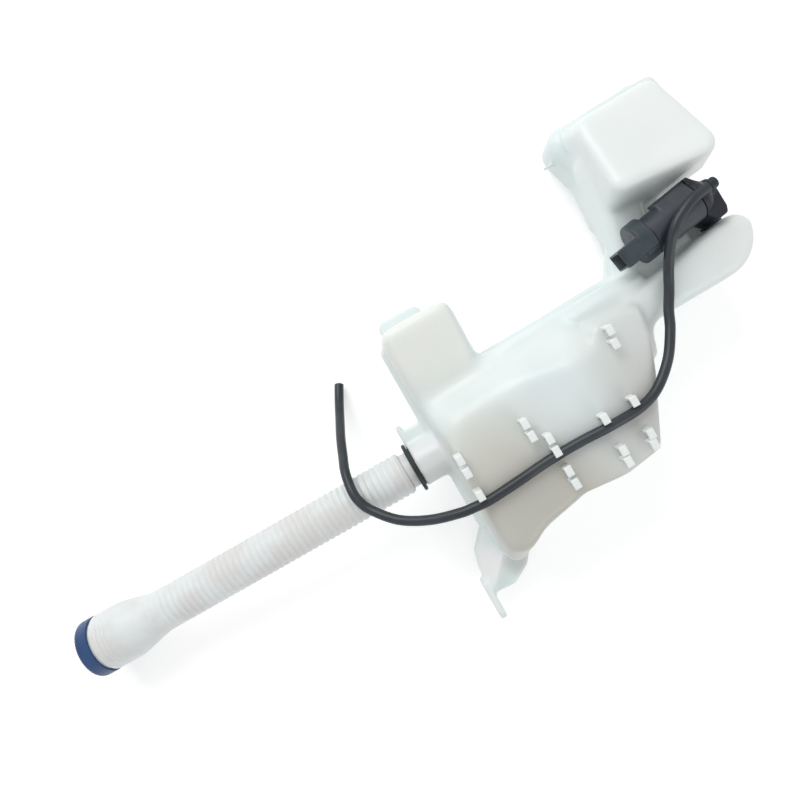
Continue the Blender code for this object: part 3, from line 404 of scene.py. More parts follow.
# Two tones, scale of their clouds, scale of the grain, shift of the gloss, roughness, strength of the bump,
# and what else the shader takes
finishes = {
    "milkyTank": ((0.83, 0.90, 0.89), (0.78, 0.865, 0.86), 14.0, 700.0, 0.12, 0.37, 0.10,
                  {**milky(0.4, (0.9, 1.0, 0.95), 0.009), "Coat Weight": 0.05, "Coat Roughness": 0.25}),
    "milkyHooks": ((0.87, 0.90, 0.89), (0.83, 0.87, 0.86), 60.0, 900.0, 0.1, 0.34, 0.1,
                   milky(0.2, (0.9, 1.0, 0.95), 0.002)),
    "milkyTube": ((0.79, 0.83, 0.835), (0.74, 0.745, 0.73), 30.0, 900.0, 0.1, 0.4, 0.1,
                  milky(0.2, (1.0, 1.0, 0.9), 0.003)),
    "hoseRubber": ((0.016, 0.022, 0.028), (0.026, 0.034, 0.041), 45.0, 1600.0, 0.12, 0.33, 0.15,
                   {"Specular IOR Level": 0.42}),
    "gasketRubber": ((0.018, 0.027, 0.03), (0.03, 0.042, 0.046), 60.0, 1500.0, 0.1, 0.5, 0.3),
    "blueCap": ((0.006, 0.041, 0.137), (0.010, 0.058, 0.180), 40.0, 1100.0, 0.12, 0.36, 0.2),
    "pumpBlack": ((0.019, 0.025, 0.035), (0.029, 0.036, 0.047), 70.0, 1300.0, 0.15, 0.42, 0.35),
    # Darker copy of the pump's black nylon for the head; the extra darkness is painted shade
    "pumpHeadShadedBlack": ((0.008, 0.011, 0.018), (0.014, 0.018, 0.026), 70.0, 1300.0, 0.12, 0.46, 0.3,
                      {"Specular IOR Level": 0.36}),
    "pumpSlate": ((0.026, 0.040, 0.048), (0.036, 0.053, 0.062), 60.0, 1300.0, 0.15, 0.4, 0.35,
                  {"Specular IOR Level": 0.38}),
    "socketInside": ((0.11, 0.135, 0.15), (0.14, 0.165, 0.18), 60.0, 1300.0, 0.1, 0.6, 0.3),
    "greyFoam": ((0.30, 0.30, 0.31), (0.38, 0.38, 0.39), 400.0, 2500.0, 0.1, 0.9, 0.8),
    "drawnSteel": ((0.52, 0.52, 0.53), (0.45, 0.45, 0.46), 90.0, 2200.0, 0.2, 0.35, 0.15, metal),
    "darkFerrite": ((0.05, 0.05, 0.055), (0.075, 0.072, 0.072), 150.0, 2400.0, 0.15, 0.6, 0.4),
    "woundCopper": ((0.62, 0.26, 0.12), (0.50, 0.19, 0.08), 220.0, 2600.0, 0.2, 0.35, 0.4, metal),
    "plainBronze": ((0.56, 0.40, 0.19), (0.48, 0.33, 0.15), 180.0, 2400.0, 0.2, 0.34, 0.2, metal),
    "brushCarbon": ((0.022, 0.022, 0.022), (0.035, 0.035, 0.035), 300.0, 3000.0, 0.15, 0.7, 0.5),
    "whiteNylon": ((0.72, 0.72, 0.68), (0.66, 0.66, 0.61), 120.0, 2000.0, 0.1, 0.45, 0.2),
}

# Centre, radius, strength and tone of each soft spot; on the tank most of them are painted shade and painted
# light, as marked below
tintsAndPaintedLight = {
    # Darker, warmer tones over the right, left and top lobes
    "milkyTank": [((0.205, 0.062, 0.06), 0.085, 0.6, (0.90, 0.895, 0.87)),
                  ((-0.075, 0.115, 0.105), 0.06, 0.6, (0.86, 0.85, 0.79)),
                  ((0.165, 0.180, 0.115), 0.075, 0.6, (0.86, 0.875, 0.85)),
                  # Painted shade over the panels
                  ((-0.075, -0.010, 0.140), 0.090, 0.95, (0.63, 0.625, 0.57)),
                  ((-0.050, -0.070, 0.140), 0.105, 1.0, (0.53, 0.52, 0.47)),
                  ((0.065, -0.025, 0.142), 0.09, 0.95, (0.58, 0.58, 0.56)),
                  ((0.065, 0.035, 0.112), 0.055, 0.6, (0.66, 0.67, 0.65)),
                  # Painted reflection: a darker, bluish middle of the panels
                  ((-0.005, 0.020, 0.118), 0.055, 0.5, (0.70, 0.77, 0.78)),
                  # Painted light: a lighter flank under the top lobe beside the pump, then on the socket and
                  # on the foot
                  ((0.175, 0.132, 0.090), 0.05, 0.9, (0.97, 0.975, 0.965)),
                  ((-0.118, 0.031, 0.075), 0.030, 0.8, (0.93, 0.955, 0.95)),
                  ((-0.114, -0.080, 0.035), 0.026, 0.9, (0.95, 0.97, 0.965)),
                  # Painted shade on the foot under the panels' corner
                  ((-0.092, -0.090, 0.020), 0.022, 0.8, (0.60, 0.61, 0.59))],
}
materials = {name: makeFinish(name, *look) for name, look in finishes.items()}
print("finishes ready:", len(materials))


# Washer hose, a free cord from the pump to its bare end

hose = {
    "route": [(176.0, 111.6, 130.0),
              (166.2, 110.3, 130.2), (158.9, 108.7, 130.4), (150.2, 105.2, 130.4), (141.6, 100.4, 130.0),
              (134.3, 93.4, 128.0), (130.3, 87.6, 124.2), (127.1, 80.6, 119.2), (122.2, 69.0, 113),
              (116.8, 56.3, 109), (108.8, 42.3, 108), (101.5, 28.1, 109.2), (86.8, 8.7, 112.3),
              (66.8, -6.5, 115.9), (47.4, -12.2, 118.9), (19.2, -12.4, 122.9), (-8.2, -11.6, 120.9),
              (-35.9, -12.4, 118.4), (-64.6, -14.6, 118.1), (-92.0, -16.1, 118.1), (-104.8, -15.2, 117.8),
              (-117.6, -13.7, 115.3), (-141.3, -7.9, 106.5), (-163.8, 3.2, 95.5), (-180.4, 20.7, 86.5),
              (-186.0, 33.1, 83.6), (-186.8, 43.7, 80), (-184.8, 58.4, 71), (-181.0, 70.5, 58),
              (-176.3, 84.6, 42), (-170.1, 99.2, 26), (-163.5, 113.9, 13), (-156.2, 128.2, 5.2)],
    "diameter": 8.5,
    "bore": 4.6,
    "boreDepth": 26.0,
    "length": 584.4,
    "sides": 28,
    "step": 2.0,              # distance between rings
    "startEdge": 0.35,        # width of the edges at the pump's end, at the bare end and inside it
    "endEdge": 0.4,
    "boreEdge": 0.2,
}


def smoothPath(points, step):
    # One smooth curve through the points, then evenly spaced
    points = [np.array(p, float) for p in points]
    ends = [2 * points[0] - points[1]] + points + [2 * points[-1] - points[-2]]
    dense = []
    for i in range(1, len(ends) - 2):
        p0, p1, p2, p3 = ends[i - 1:i + 3]
        for k in range(12):
            t = k / 12
            dense.append(0.5 * (2 * p1 + (p2 - p0) * t + (2 * p0 - 5 * p1 + 4 * p2 - p3) * t ** 2
                                + (3 * p1 - p0 - 3 * p2 + p3) * t ** 3))
    dense.append(points[-1])
    dense = np.array(dense)
    reach = np.concatenate([[0], np.cumsum(np.linalg.norm(np.diff(dense, axis=0), axis=1))])
    marks = np.linspace(0, reach[-1], int(reach[-1] / step) + 1)
    return np.stack([np.interp(marks, reach, dense[:, axis]) for axis in range(3)], axis=1)


def sweep(bm, path, rings, sides):
    # rings is a list of (index along the path, radius); each becomes a circle square to the path
    tangents = np.gradient(path, axis=0)
    tangents /= np.linalg.norm(tangents, axis=1)[:, None]
    side = Vector(tangents[0]).orthogonal().normalized()
    frames = []
    for tangent in tangents:
        tangent = Vector(tangent)
        side = (side - tangent * side.dot(tangent)).normalized()
        frames.append((side.copy(), tangent.cross(side)))
    circles = []
    for index, radius in rings:
        a, b = frames[index]
        centre = Vector(path[index])
        circles.append([bm.verts.new(centre + (a * math.cos(t) + b * math.sin(t)) * radius)
                        for t in (2 * math.pi * k / sides for k in range(sides))])
    for low, high in zip(circles, circles[1:]):
        bridge(bm, low, high)
    return circles


def makeHose(settings):
    path = smoothPath(settings["route"], settings["step"])
    radius = settings["diameter"] / 2
    bore = settings["bore"] / 2
    last = len(path) - 1
    deep = last - int(settings["boreDepth"] / settings["step"])
    rings = [(0, bore), (0, radius - settings["startEdge"]), (0, radius)]
    rings += [(i, radius) for i in range(1, last)]
    rings += [(last, radius), (last, radius - settings["endEdge"]), (last, bore + settings["boreEdge"])]
    rings += [(i, bore) for i in range(last - 1, deep, -1)]
    bm = bmesh.new()
    circles = sweep(bm, path, rings, settings["sides"])
    bm.faces.new(circles[0])
    bm.faces.new(circles[-1])
    obj = makeObject("washerHose", bm, materials["hoseRubber"])
    finishPiece(obj, "tank", "black_rubber", "washer_hose", angle=50)


makeHose(hose)
print("hose laid")


# Tank skin

# Outlines run anticlockwise at the parting level, as (x, y, corner radius)
outlines = {
    "base": [(-104, -89, 12), (-62, -64, 40), (-18, -55, 60), (0, -58.5, 60), (51.5, -54, 9), (78.5, 0, 30),
             (90.5, 30, 10), (106, 86.4, 8), (-104, 86.4, 6)],
    "leftLobe": [(-105.4, 70, 8), (-38.9, 76, 10), (-38.9, 143.4, 10), (-105.4, 143.4, 9)],
    "leftLobeFace": [(-103.6, 80, 9), (-40.3, 86, 10), (-40.3, 142.2, 9), (-103.6, 142.2, 8)],
    "panelA": [(-101.5, -84, 14), (-64, -62, 30), (-24, -54.5, 4), (-24, 75.5, 4), (-101.5, 73, 8)],
    "panelAFace": [(-98.5, -80.5, 16), (-64, -59.5, 30), (-24, -52, 4), (-24, 54, 4), (-98.5, 53, 27)],
    "panelB": [(-30, -52.5, 4), (19, -56, 4), (29, 76.5, 3), (-30, 75.8, 3)],
    "panelBFace": [(-30, -50, 4), (18, -54, 4), (22, 45, 3), (-30, 54.5, 3)],
    "panelC": [(12, -56.5, 5), (50, -53, 8), (77.5, 0.5, 26), (89.5, 29, 10), (95, 68, 7), (45.5, 70, 6),
               (36, 77.3, 4), (12, 76.2, 3)],
    "panelCFace": [(12, -53.5, 5), (48, -49.5, 9), (74, 2, 26), (85.5, 30, 10), (91, 61, 8), (49, 60, 6),
                   (40, 47, 5), (12, 46, 3)],
    "ledge": [(45, 56, 4), (112, 58, 4), (110, 83, 4), (35, 80.5, 4)],
    "neck": [(94, 60, 6), (138, 66, 8), (142, 120, 9), (152, 190, 8), (114.5, 190, 8), (102, 99, 12)],
    "topLobe": [(112, 128, 8), (143, 125, 10), (220, 131, 10), (203, 218, 14), (119.5, 217, 14)],
    "topLobeFace": [(113.5, 143.5, 9), (143, 141, 12), (206.5, 131.5, 14), (193.5, 213.5, 10),
                    (118, 212, 12)],
    "boss": [(117, 177, 3), (150, 177, 4), (150, 226, 4), (107, 226, 16), (108.5, 205, 9)],
    "rightLobe": [(60, 8, 6), (90, 12, 8), (97, 38.5, 12), (208, 40, 33), (206.5, 87.8, 17), (60, 64.6, 6)],
    "saddleHigh": [(118, 62, 3), (164.5, 66, 3), (164.5, 93, 4), (118, 85.5, 3)],
    "saddleLow": [(118, 62, 3), (187, 68, 3), (184, 98, 6), (118, 86, 3)],
    "foot": [(-131, -107, 3), (-106, -109, 3), (-88, -99, 14), (-62, -66, 8), (-62, -40, 8), (-101, -40, 3),
             (-124.5, -65, 5), (-128, -80, 8)],
    "footWedge": [(-130.5, -98, 2), (-124, -99.5, 2), (-96, -66, 3), (-80, -60, 4), (-84, -42, 4),
                  (-103, -44, 2), (-125, -67, 4)],
    "flangeChamber": [(-109.5, -44, 2), (-92, -44, 2), (-92, 76, 2), (98, 76, 2), (98, 91.2, 2),
                      (-44, 88.2, 4), (-44, 110, 4), (-92, 110, 4), (-92, 134, 3), (-109.5, 134, 6)],
    "flangeNeck": [(99, 84, 2), (130, 90, 4), (158, 110, 4), (160, 135, 4), (130, 186, 4), (119.5, 186, 4),
                   (106, 99, 12)],
    "flangeLobe": [(117, 200, 4), (117, 221.5, 9), (188, 224.5, 4), (213, 222.5, 8), (216.5, 200, 4),
                   (190, 170, 4)],
    "flangeStep": [(-107.0, -44, 1.5), (-92, -44, 2), (-92, 134, 3), (-107.0, 134, 5)],
    "flangeWeb": [(82, 80, 2), (106, 80, 2), (106, 116, 2)],
    "socketWeb": [(-130.2, 36.3, 1), (-101, 36.3, 1), (-101, 63.2, 1), (-125, 63.2, 1), (-125, 69.7, 1.5),
                  (-130.2, 69.7, 1.5)],
    "backTab": [(-100, 134, 3), (-58, 134, 3), (-58, 154.5, 8), (-96, 155.5, 4), (-100, 150, 3)],
}

# Every bulge of the skin: heights of its back and its top, edge radii, and the tilt of its top as
# (x, y, rise along x, rise along y) about that point
lobes = {
    "base": {"back": 0.0, "top": 92.0, "edge": 5.0},
    "leftLobe": {"back": 5.0, "top": 108.0, "face": "leftLobeFace", "tilt": (-70, 133, 0.0, 0.26)},
    "panelA": {"back": 50.0, "top": 114.0, "face": "panelAFace", "edge": 6.0, "backEdge": 1.0, "middle": 92.5,
               "tilt": (-60, 20, 0.0, 0.015)},
    "panelB": {"back": 50.5, "top": 114.0, "face": "panelBFace", "edge": 3.4, "backEdge": 1.0, "middle": 92.2,
               "tilt": (-30, 20, 5 / 47, 0.015)},
    "panelC": {"back": 51.0, "top": 119.0, "face": "panelCFace", "edge": 4.2, "backEdge": 1.0, "middle": 92.8,
               "tilt": (17, 20, -11 / 72, 0.02)},
    "ledge": {"back": 52.0, "top": 99.0, "edge": 5.0, "backEdge": 1.0},
    "neck": {"back": 12.0, "top": 88.5, "edge": 6.0, "backDraft": 9.5},
    "topLobe": {"back": 9.0, "top": 128.0, "face": "topLobeFace", "tilt": (150, 141, 0.0, -0.34)},
    "boss": {"back": 3.0, "top": 55.0, "edge": 9.0},
    "rightLobe": {"back": 7.0, "top": 105.0, "draft": 0.4, "tilt": (150, 74, 0.0, 0.18)},
    "saddleHigh": {"back": 50.0, "top": 87.5, "edge": 4.0, "backEdge": 1.0, "crisp": True},
    "saddleLow": {"back": 50.0, "top": 70.5, "edge": 3.0, "backEdge": 1.0, "crisp": True},
    "foot": {"back": 8.0, "top": 26.0, "edge": 2.5, "backEdge": 6.0, "draft": 0.4, "crisp": True},
    "footWedge": {"back": 14.0, "top": 52.0, "edge": 0.6, "backEdge": 1.5, "draft": 0.2, "middle": 20.0,
                  "tilt": (-97, -65, 0.76, -0.27), "crisp": True},
}

skin = {
    "parting": 62.0,
    "draft": 1.6,
    "edge": 8.0,
    "backEdge": 9.0,
    "cornerSteps": 8,
    "edgeSteps": 6,
    "bodyVoxel": 1.7,
    "bodyRounds": 64,         # more rounds give softer edges and valleys
    "softShare": 0.6,        # how much of that the left part takes
    "crispShare": 0.07,       # and how much the crisp right part takes
    "softUntil": (-38.0, -14.0),   # X where the soft left part ends and the crisp part starts
    "valley": (48.0, 66.0, 96.0, 112.0),   # Y range where the left lobe runs down into the panel
    "softHeight": (66.0, 84.0),            # Z range over which the valley softens
    "voxel": 1.7,
    "rounds": 2,
    "flangeT": 3.0,
    "stepT": 5.0,             # height of the step beside the flange on the left wall
    "neckGrow": 3.2,          # how far the neck's flange stands out from its outline
    "webHole": (92.3, 95.4, 1.3),          # X, Y and radius
    "socketWebT": 3.6,
    "socketY": 31.3,
    "socketR": 19.4,
    "socketWall": 1.8,
    "socketEnd": -129.6,
    "leftWall": -104.0,
    "ear": (-127.0, -115.0, 29.0),
    "earT": 6.0,
    "earR": 14.0,
    "earReach": 25.0,         # from the ear's centre into the foot
    "earHole": 4.2,
    "tabZ": 38.0,
    "tabT": 5.0,
    "pin": (98.8, 110.0),
    "pinAt": (202.0, 36.0),
    "pinR": 1.8,
}


def cornerData(corners):
    data = []
    for i, (x, y, r) in enumerate(corners):
        here = Vector((x, y))
        before = (Vector(corners[i - 1][:2]) - here).normalized()
        after = (Vector(corners[(i + 1) % len(corners)][:2]) - here).normalized()
        data.append((here, r, before, after, before.cross(after) < 0))
    return data


def inset(corners, depth):
    moved = []
    for here, r, before, after, convex in cornerData(corners):
        inward = (before + after).normalized() * (depth / math.sin(before.angle(after) / 2))
        spot = here + inward if convex else here - inward
        moved.append((spot.x, spot.y, max(r - depth if convex else r + depth, 0.8)))
    return moved


def rounded(corners, steps):
    points = []
    for here, r, before, after, convex in cornerData(corners):
        half = before.angle(after) / 2
        centre = here + (before + after).normalized() * (r / math.sin(half))
        spoke = here + before * (r / math.tan(half)) - centre
        turn = (math.pi - 2 * half) * (1 if convex else -1)
        points += [centre + Matrix.Rotation(turn * k / steps, 2) @ spoke for k in range(steps + 1)]
    return points


def makeLobe(name, shape):
    corners = outlines[name]
    draft = shape.get("draft", skin["draft"])
    edge = shape.get("edge", skin["edge"])
    backEdge = shape.get("backEdge", skin["backEdge"])
    back, top = shape["back"], shape["top"]
    high = outlines[shape["face"]] if "face" in shape else inset(corners, draft)
    low = inset(corners, shape.get("backDraft", draft))
    middle = min(shape.get("middle", skin["parting"]), top - edge - 1.0)
    steps = skin["edgeSteps"]

    def ring(level, outline, depth):
        t = max(0.0, (level - middle) / (top - middle))
        x0, y0, riseX, riseY = shape.get("tilt", (0, 0, 0, 0))
        return [(p.x, p.y, level + t * (riseX * (p.x - x0) + riseY * (p.y - y0)))
                for p in rounded(inset(outline, depth), skin["cornerSteps"])]

    rings = []
    for k in range(steps if backEdge > 2.0 else 0, -1, -1):
        angle = k / steps * math.pi / 2
        rings.append(ring(back + backEdge * (1 - math.sin(angle)), low, backEdge * (1 - math.cos(angle))))
    rings.append(ring(middle, corners, 0.0))
    for k in range(steps + 1):
        angle = k / steps * math.pi / 2
        level = top - edge * (1 - math.sin(angle))
        t = (level - middle) / (top - middle)
        between = [tuple(a + (b - a) * t for a, b in zip(p, q)) for p, q in zip(corners, high)]
        rings.append(ring(level, between, edge * (1 - math.cos(angle))))
    return lofted(name, rings)


def makePlate(name, corners, z0, z1):
    points = rounded(corners, 4)
    return lofted(name, [[(p.x, p.y, z) for p in points] for z in (z0, z1)])


def eased(values, low, high):
    t = np.clip((values - low) / (high - low), 0, 1)
    return t * t * (3 - 2 * t)


def softSkin(points):
    left = 1 - eased(points[:, 0], *skin["softUntil"])
    a, b, c, d = skin["valley"]
    valley = eased(points[:, 1], a, b) * (1 - eased(points[:, 1], c, d))
    high = eased(points[:, 2], *skin["softHeight"])
    soft = skin["softShare"] + (1 - skin["softShare"]) * valley * high
    return skin["crispShare"] + (soft - skin["crispShare"]) * left


def makeFlanges():
    # The parting flange in its stretches, the webs, and the tab at the back
    level, half, web = skin["parting"], skin["flangeT"] / 2, skin["socketWebT"] / 2
    z0, z1 = level - half, level + half
    x, y, r = skin["webHole"]
    holed = makePlate("flangeWeb", outlines["flangeWeb"], z0, z1)
    carve(holed, [rod("webHole", level - 5, level + 5, r, sides=24, centre=(x, y, 0), axis="Z")])
    shapes = {**outlines, "flangeNeck": inset(outlines["flangeNeck"], -skin["neckGrow"])}
    heights = {"flangeChamber": (z0, z1), "flangeNeck": (z0, z1), "flangeLobe": (z0, z1),
               "flangeStep": (z1, z1 + skin["stepT"]), "socketWeb": (level - web, level + web),
               "backTab": (skin["tabZ"], skin["tabZ"] + skin["tabT"])}
    return [holed] + [makePlate(name, shapes[name], *span) for name, span in heights.items()]


def makeEar():
    # Flat ear at the end of the foot, with its hole
    x, y, z = skin["ear"]
    r, root = skin["earR"], y + skin["earReach"]
    points = rounded([(y - r, z - r, r - 1.5), (root, z - r + 2, 2), (root, z + r - 4, 2),
                      (y - r, z + r, r - 1.5)], 8)
    ear = lofted("ear", [[(side, p.x, p.y) for p in points] for side in (x - skin["earT"], x)])
    return carve(ear, [rod("earHole", x - 14, x + 7, skin["earHole"], sides=40, centre=(0, y, z))])


def makeTank():
    body = fuse("tankBody", [makeLobe(name, shape) for name, shape in lobes.items() if "crisp" not in shape],
                skin["bodyVoxel"], skin["bodyRounds"], softness=softSkin)
    print("tank body:", len(body.data.polygons), "faces")
    pieces = [body] + [makeLobe(name, shape) for name, shape in lobes.items() if "crisp" in shape]
    pieces += makeFlanges()
    bore = skin["socketR"] - skin["socketWall"]
    x0, x1 = skin["socketEnd"], skin["leftWall"] + 6
    profile = [(x0, bore), (x0, skin["socketR"]), (x1, skin["socketR"]), (x1, bore)]
    pieces.append(turned("socket", profile, sides=72, centre=(0, skin["socketY"], skin["parting"])))
    pieces.append(makeEar())
    pieces.append(rod("locatingPin", *skin["pin"], skin["pinR"], sides=24, centre=(0, *skin["pinAt"])))
    tank = fuse("tankSkin", pieces, skin["voxel"], skin["rounds"], materials["milkyTank"])
    return finishPiece(tank, "tank", "milky_polyethylene", "tank")


makeTank()


# Hooks on the tank's face

hooks = {
    "places": [(-97.0, 27.5), (-97.0, 16.1), (-97.0, -4.4), (-38.7, 27.0), (-38.7, 15.6), (-27.8, 7.2),
               (-27.8, -4.2), (-27.2, -22.4), (-27.2, -33.8), (16.6, -0.3), (44.2, -0.3), (17.0, -29.0),
               (16.3, -38.4), (43.0, -29.0), (41.3, -37.6), (55.5, 57.5), (54.0, 46.1)],
    "width": 6.2,
    "thick": 2.4,
    "reach": 8.8,
    "lip": 1.9,
    "rise": 11.6,
    "root": 5.0,              # how far the post goes into the skin
    "bevel": 0.6,
    "panels": {"panelA": -30.0, "panelB": 17.0, "panelC": 200.0},   # X where each panel ends
}


def panelHeight(x, y):
    # Height of the tilted top of the panel under a hook
    shape = lobes[next(name for name, end in hooks["panels"].items() if x < end)]
    x0, y0, riseX, riseY = shape["tilt"]
    return shape["top"] + riseX * (x - x0) + riseY * (y - y0)


def makeHookShape(settings):
    # Post and overhanging lip in side view, with the foot spread where it leaves the skin
    thick, reach, rise, lip, root = (settings[k] for k in ("thick", "reach", "rise", "lip", "root"))
    outline = [(-thick - 1.2, -root), (1.0, -root), (0.9, -0.4), (0.25, 1.0), (0, 2.2), (0, rise - 1.0),
               (-1.0, rise), (-reach + 0.5, rise), (-reach, rise - 0.6), (-reach, rise - lip),
               (-thick - 0.8, rise - lip), (-thick, rise - lip - 0.8), (-thick, 2.0), (-thick - 0.3, 0.9),
               (-thick - 1.1, -0.4)]
    half = settings["width"] / 2
    hook = lofted("hookShape", [[(side, a, b) for a, b in outline] for side in (-half, half)])
    bevelled(hook, settings["bevel"], 3, 40)
    shadeByAngle(hook, 35)
    return hook


def endTree(tree, geometry, material, result):
    # The last steps of a geometry tree: real mesh, with its material
    real = addNode(tree, "GeometryNodeRealizeInstances", {"Geometry": geometry}).outputs["Geometry"]
    paint = addNode(tree, "GeometryNodeSetMaterial", {"Geometry": real, "Material": material})
    tree.links.new(paint.outputs["Geometry"], result["Geometry"])
    return tree


def makeHookTree(material):
    tree, given, result = newGroup("hooksOnPoints", "GeometryNodeTree",
                                   {"Points": "Geometry", "Hook": "Object", "Size": 1.0},
                                   {"Geometry": "Geometry"})
    hook = addNode(tree, "GeometryNodeObjectInfo", {"Object": given["Hook"]}).outputs["Geometry"]
    spread = addNode(tree, "GeometryNodeInstanceOnPoints",
                     {"Points": given["Points"], "Instance": hook, "Scale": given["Size"]})
    return endTree(tree, spread.outputs["Instances"], material, result)


def runTree(obj, tree, values):
    # Sets a geometry tree's named inputs, then keeps only the mesh that it makes
    modifier = obj.modifiers.new("build", "NODES")
    modifier.node_group = tree
    for item in tree.interface.items_tree:
        if item.in_out == "INPUT" and item.name in values:
            modifier[item.identifier] = values[item.name]
    return settle(obj)


def makeHooks(settings):
    shape = makeHookShape(settings)
    mesh = bpy.data.meshes.new("tankHooks")
    spots = [(x * mm, y * mm, panelHeight(x, y - settings["reach"] / 2) * mm) for x, y in settings["places"]]
    mesh.from_pydata(spots, [], [])
    obj = addObject("tankHooks", mesh)
    runTree(obj, makeHookTree(materials["milkyHooks"]), {"Hook": shape, "Size": 1.0})
    bpy.data.objects.remove(shape)
    return finishPiece(obj, "tank", "milky_polyethylene")


makeHooks(hooks)


# Corrugated filler tube

tube = {
    "startX": -110.5,         # inner end of the spigot
    "ringStart": -140.7,
    "pitch": 5.7,
    "rings": 43,
    "ringR": 18.7,
    "ringDepth": 1.1,
    "spigotR": 15.4,
    "bellR": 25.9,
    "bellLength": 42.0,
    "barrel": 21.0,
    "mouthR": 24.0,
    "mouthNeck": 11.0,
    "lipGroove": 0.6,
    "lips": (6.5, 11.5, 14.5),     # grooves round the bell, counted from the neck under the cap
    "lipWidth": 1.3,
    "sharpness": 2.2,         # more makes the valleys between the rings narrower
    "fadeRun": 4.0,           # over which the rings fade before the bell
    "fadeTo": 0.12,           # and what is left of them on it
    "lateRun": 30.0,          # over which that rest goes too
    "shoulder": 0.8,          # length of the steps at the spigot and under the cap
    "drop": 30.0,             # how far the mouth hangs below the socket
    "wall": 1.5,
    "sides": 56,
    "step": 0.52,
    "axisY": 31.3,
    "axisZ": 62.0,
}


def makeTubeTree(settings, material):
    labels = {"Ring Radius": "ringR", "Ring Depth": "ringDepth", "Pitch": "pitch", "Spigot Radius": "spigotR",
              "Bell Radius": "bellR", "Mouth Radius": "mouthR", "Drop": "drop", "Lip Groove": "lipGroove"}
    inputs = {"Geometry": "Geometry", "Ring Start": 0.0, "Bell Start": 0.0, "Barrel Start": 0.0,
              "Neck Start": 0.0, "Length": 1.0, "Sides": 48, "Segments": 600}
    inputs.update((label, settings[key]) for label, key in labels.items())
    tree, given, result = newGroup("corrugatedTube", "GeometryNodeTree", inputs, {"Geometry": "Geometry"})
    operations = ("ADD", "SUBTRACT", "MULTIPLY", "DIVIDE")
    add, subtract, multiply, divide = (partial(calc, tree, name) for name in operations)
    drum = addNode(tree, "GeometryNodeMeshCylinder",
                   {"Vertices": given["Sides"], "Side Segments": given["Segments"], "Radius": 1.0,
                    "Depth": given["Length"]}, fill_type="NONE")
    place = addNode(tree, "GeometryNodeInputPosition")
    parts = addNode(tree, "ShaderNodeSeparateXYZ", {"Vector": place.outputs["Position"]}).outputs
    s = add(parts["Z"], multiply(given["Length"], 0.5))
    # rings: narrow valleys between broad ridges
    along = subtract(s, given["Ring Start"])
    turns = multiply(divide(along, given["Pitch"]), 2 * math.pi)
    wave = add(multiply(calc(tree, "COSINE", turns), 0.5), 0.5)
    valley = multiply(calc(tree, "POWER", wave, settings["sharpness"]), given["Ring Depth"])
    bell = given["Bell Start"]
    fade = ramp(tree, s, subtract(bell, settings["fadeRun"]), bell, 1.0, settings["fadeTo"], True)
    late = ramp(tree, s, bell, add(bell, settings["lateRun"]), 1.0, 0.0, True)
    valley = multiply(valley, multiply(fade, late))
    rise = subtract(given["Bell Radius"], given["Ring Radius"])
    swell = ramp(tree, s, bell, given["Barrel Start"], 0.0, rise, True)
    radius = add(subtract(given["Ring Radius"], valley), swell)
    for offset in settings["lips"]:
        away = calc(tree, "ABSOLUTE", subtract(s, subtract(given["Neck Start"], offset)))
        radius = subtract(radius, ramp(tree, away, 0.0, settings["lipWidth"], given["Lip Groove"], 0.0, True))
    # spigot before the first ring, plain neck under the cap after the bell
    for start, before, after, level in (("Ring Start", 1.0, 0.0, "Spigot Radius"),
                                        ("Neck Start", 0.0, 1.0, "Mouth Radius")):
        mask = ramp(tree, s, subtract(given[start], settings["shoulder"]), given[start], before, after, True)
        radius = add(radius, multiply(subtract(given[level], radius), mask))
    # the sag of the centre line, and each ring square to it
    run = subtract(given["Length"], given["Ring Start"])
    t = calc(tree, "MAXIMUM", divide(along, run), 0.0)
    sag = multiply(given["Drop"], multiply(add(multiply(t, t), t), 0.5))
    slope = multiply(divide(given["Drop"], run), add(t, 0.5))
    slope = multiply(slope, ramp(tree, along, 0.0, 1.0, 0.0, 1.0))
    angle = calc(tree, "ARCTANGENT", slope)
    across = multiply(parts["Y"], radius)
    up = multiply(parts["X"], radius)
    x = subtract(multiply(s, -1.0), multiply(up, calc(tree, "SINE", angle)))
    z = subtract(multiply(up, calc(tree, "COSINE", angle)), sag)
    joined = addNode(tree, "ShaderNodeCombineXYZ", {"X": x, "Y": across, "Z": z})
    move = addNode(tree, "GeometryNodeSetPosition",
                   {"Geometry": drum.outputs["Mesh"], "Position": joined.outputs["Vector"]})
    return endTree(tree, move.outputs["Geometry"], material, result)


def makeTube(settings):
    ringStart = settings["startX"] - settings["ringStart"]
    bellStart = ringStart + settings["rings"] * settings["pitch"]
    barrelStart = bellStart + settings["bellLength"]
    neckStart = barrelStart + settings["barrel"]
    length = neckStart + settings["mouthNeck"]
    obj = addObject("fillerTube", bpy.data.meshes.new("fillerTube"))
    runTree(obj, makeTubeTree(settings, materials["milkyTube"]),
            {"Ring Start": ringStart, "Bell Start": bellStart, "Barrel Start": barrelStart,
             "Neck Start": neckStart, "Length": length, "Sides": settings["sides"],
             "Segments": int(length / settings["step"])})
    obj.data.transform(Matrix.Translation((settings["startX"], settings["axisY"], settings["axisZ"])))
    obj.data.transform(Matrix.Scale(mm, 4))
    bm = bmesh.new()
    bm.from_mesh(obj.data)
    bmesh.ops.recalc_face_normals(bm, faces=bm.faces)
    bm.to_mesh(obj.data)
    bm.free()
    wall = obj.modifiers.new("wall", "SOLIDIFY")
    wall.thickness = settings["wall"] * mm
    wall.offset = -1.0
    settle(obj)
    return finishPiece(obj, "tank", "tube_polyethylene", "filler_tube", angle=50)


makeTube(tube)


# Gasket between socket and tube

gasket = {
    "flangeR": 22.2,
    "flangeT": 3.0,
    "bore": 15.7,
    "sleeveR": 17.3,
    "sleeve": 13.0,
    "face": -130.6,           # side of the flange that meets the socket
}


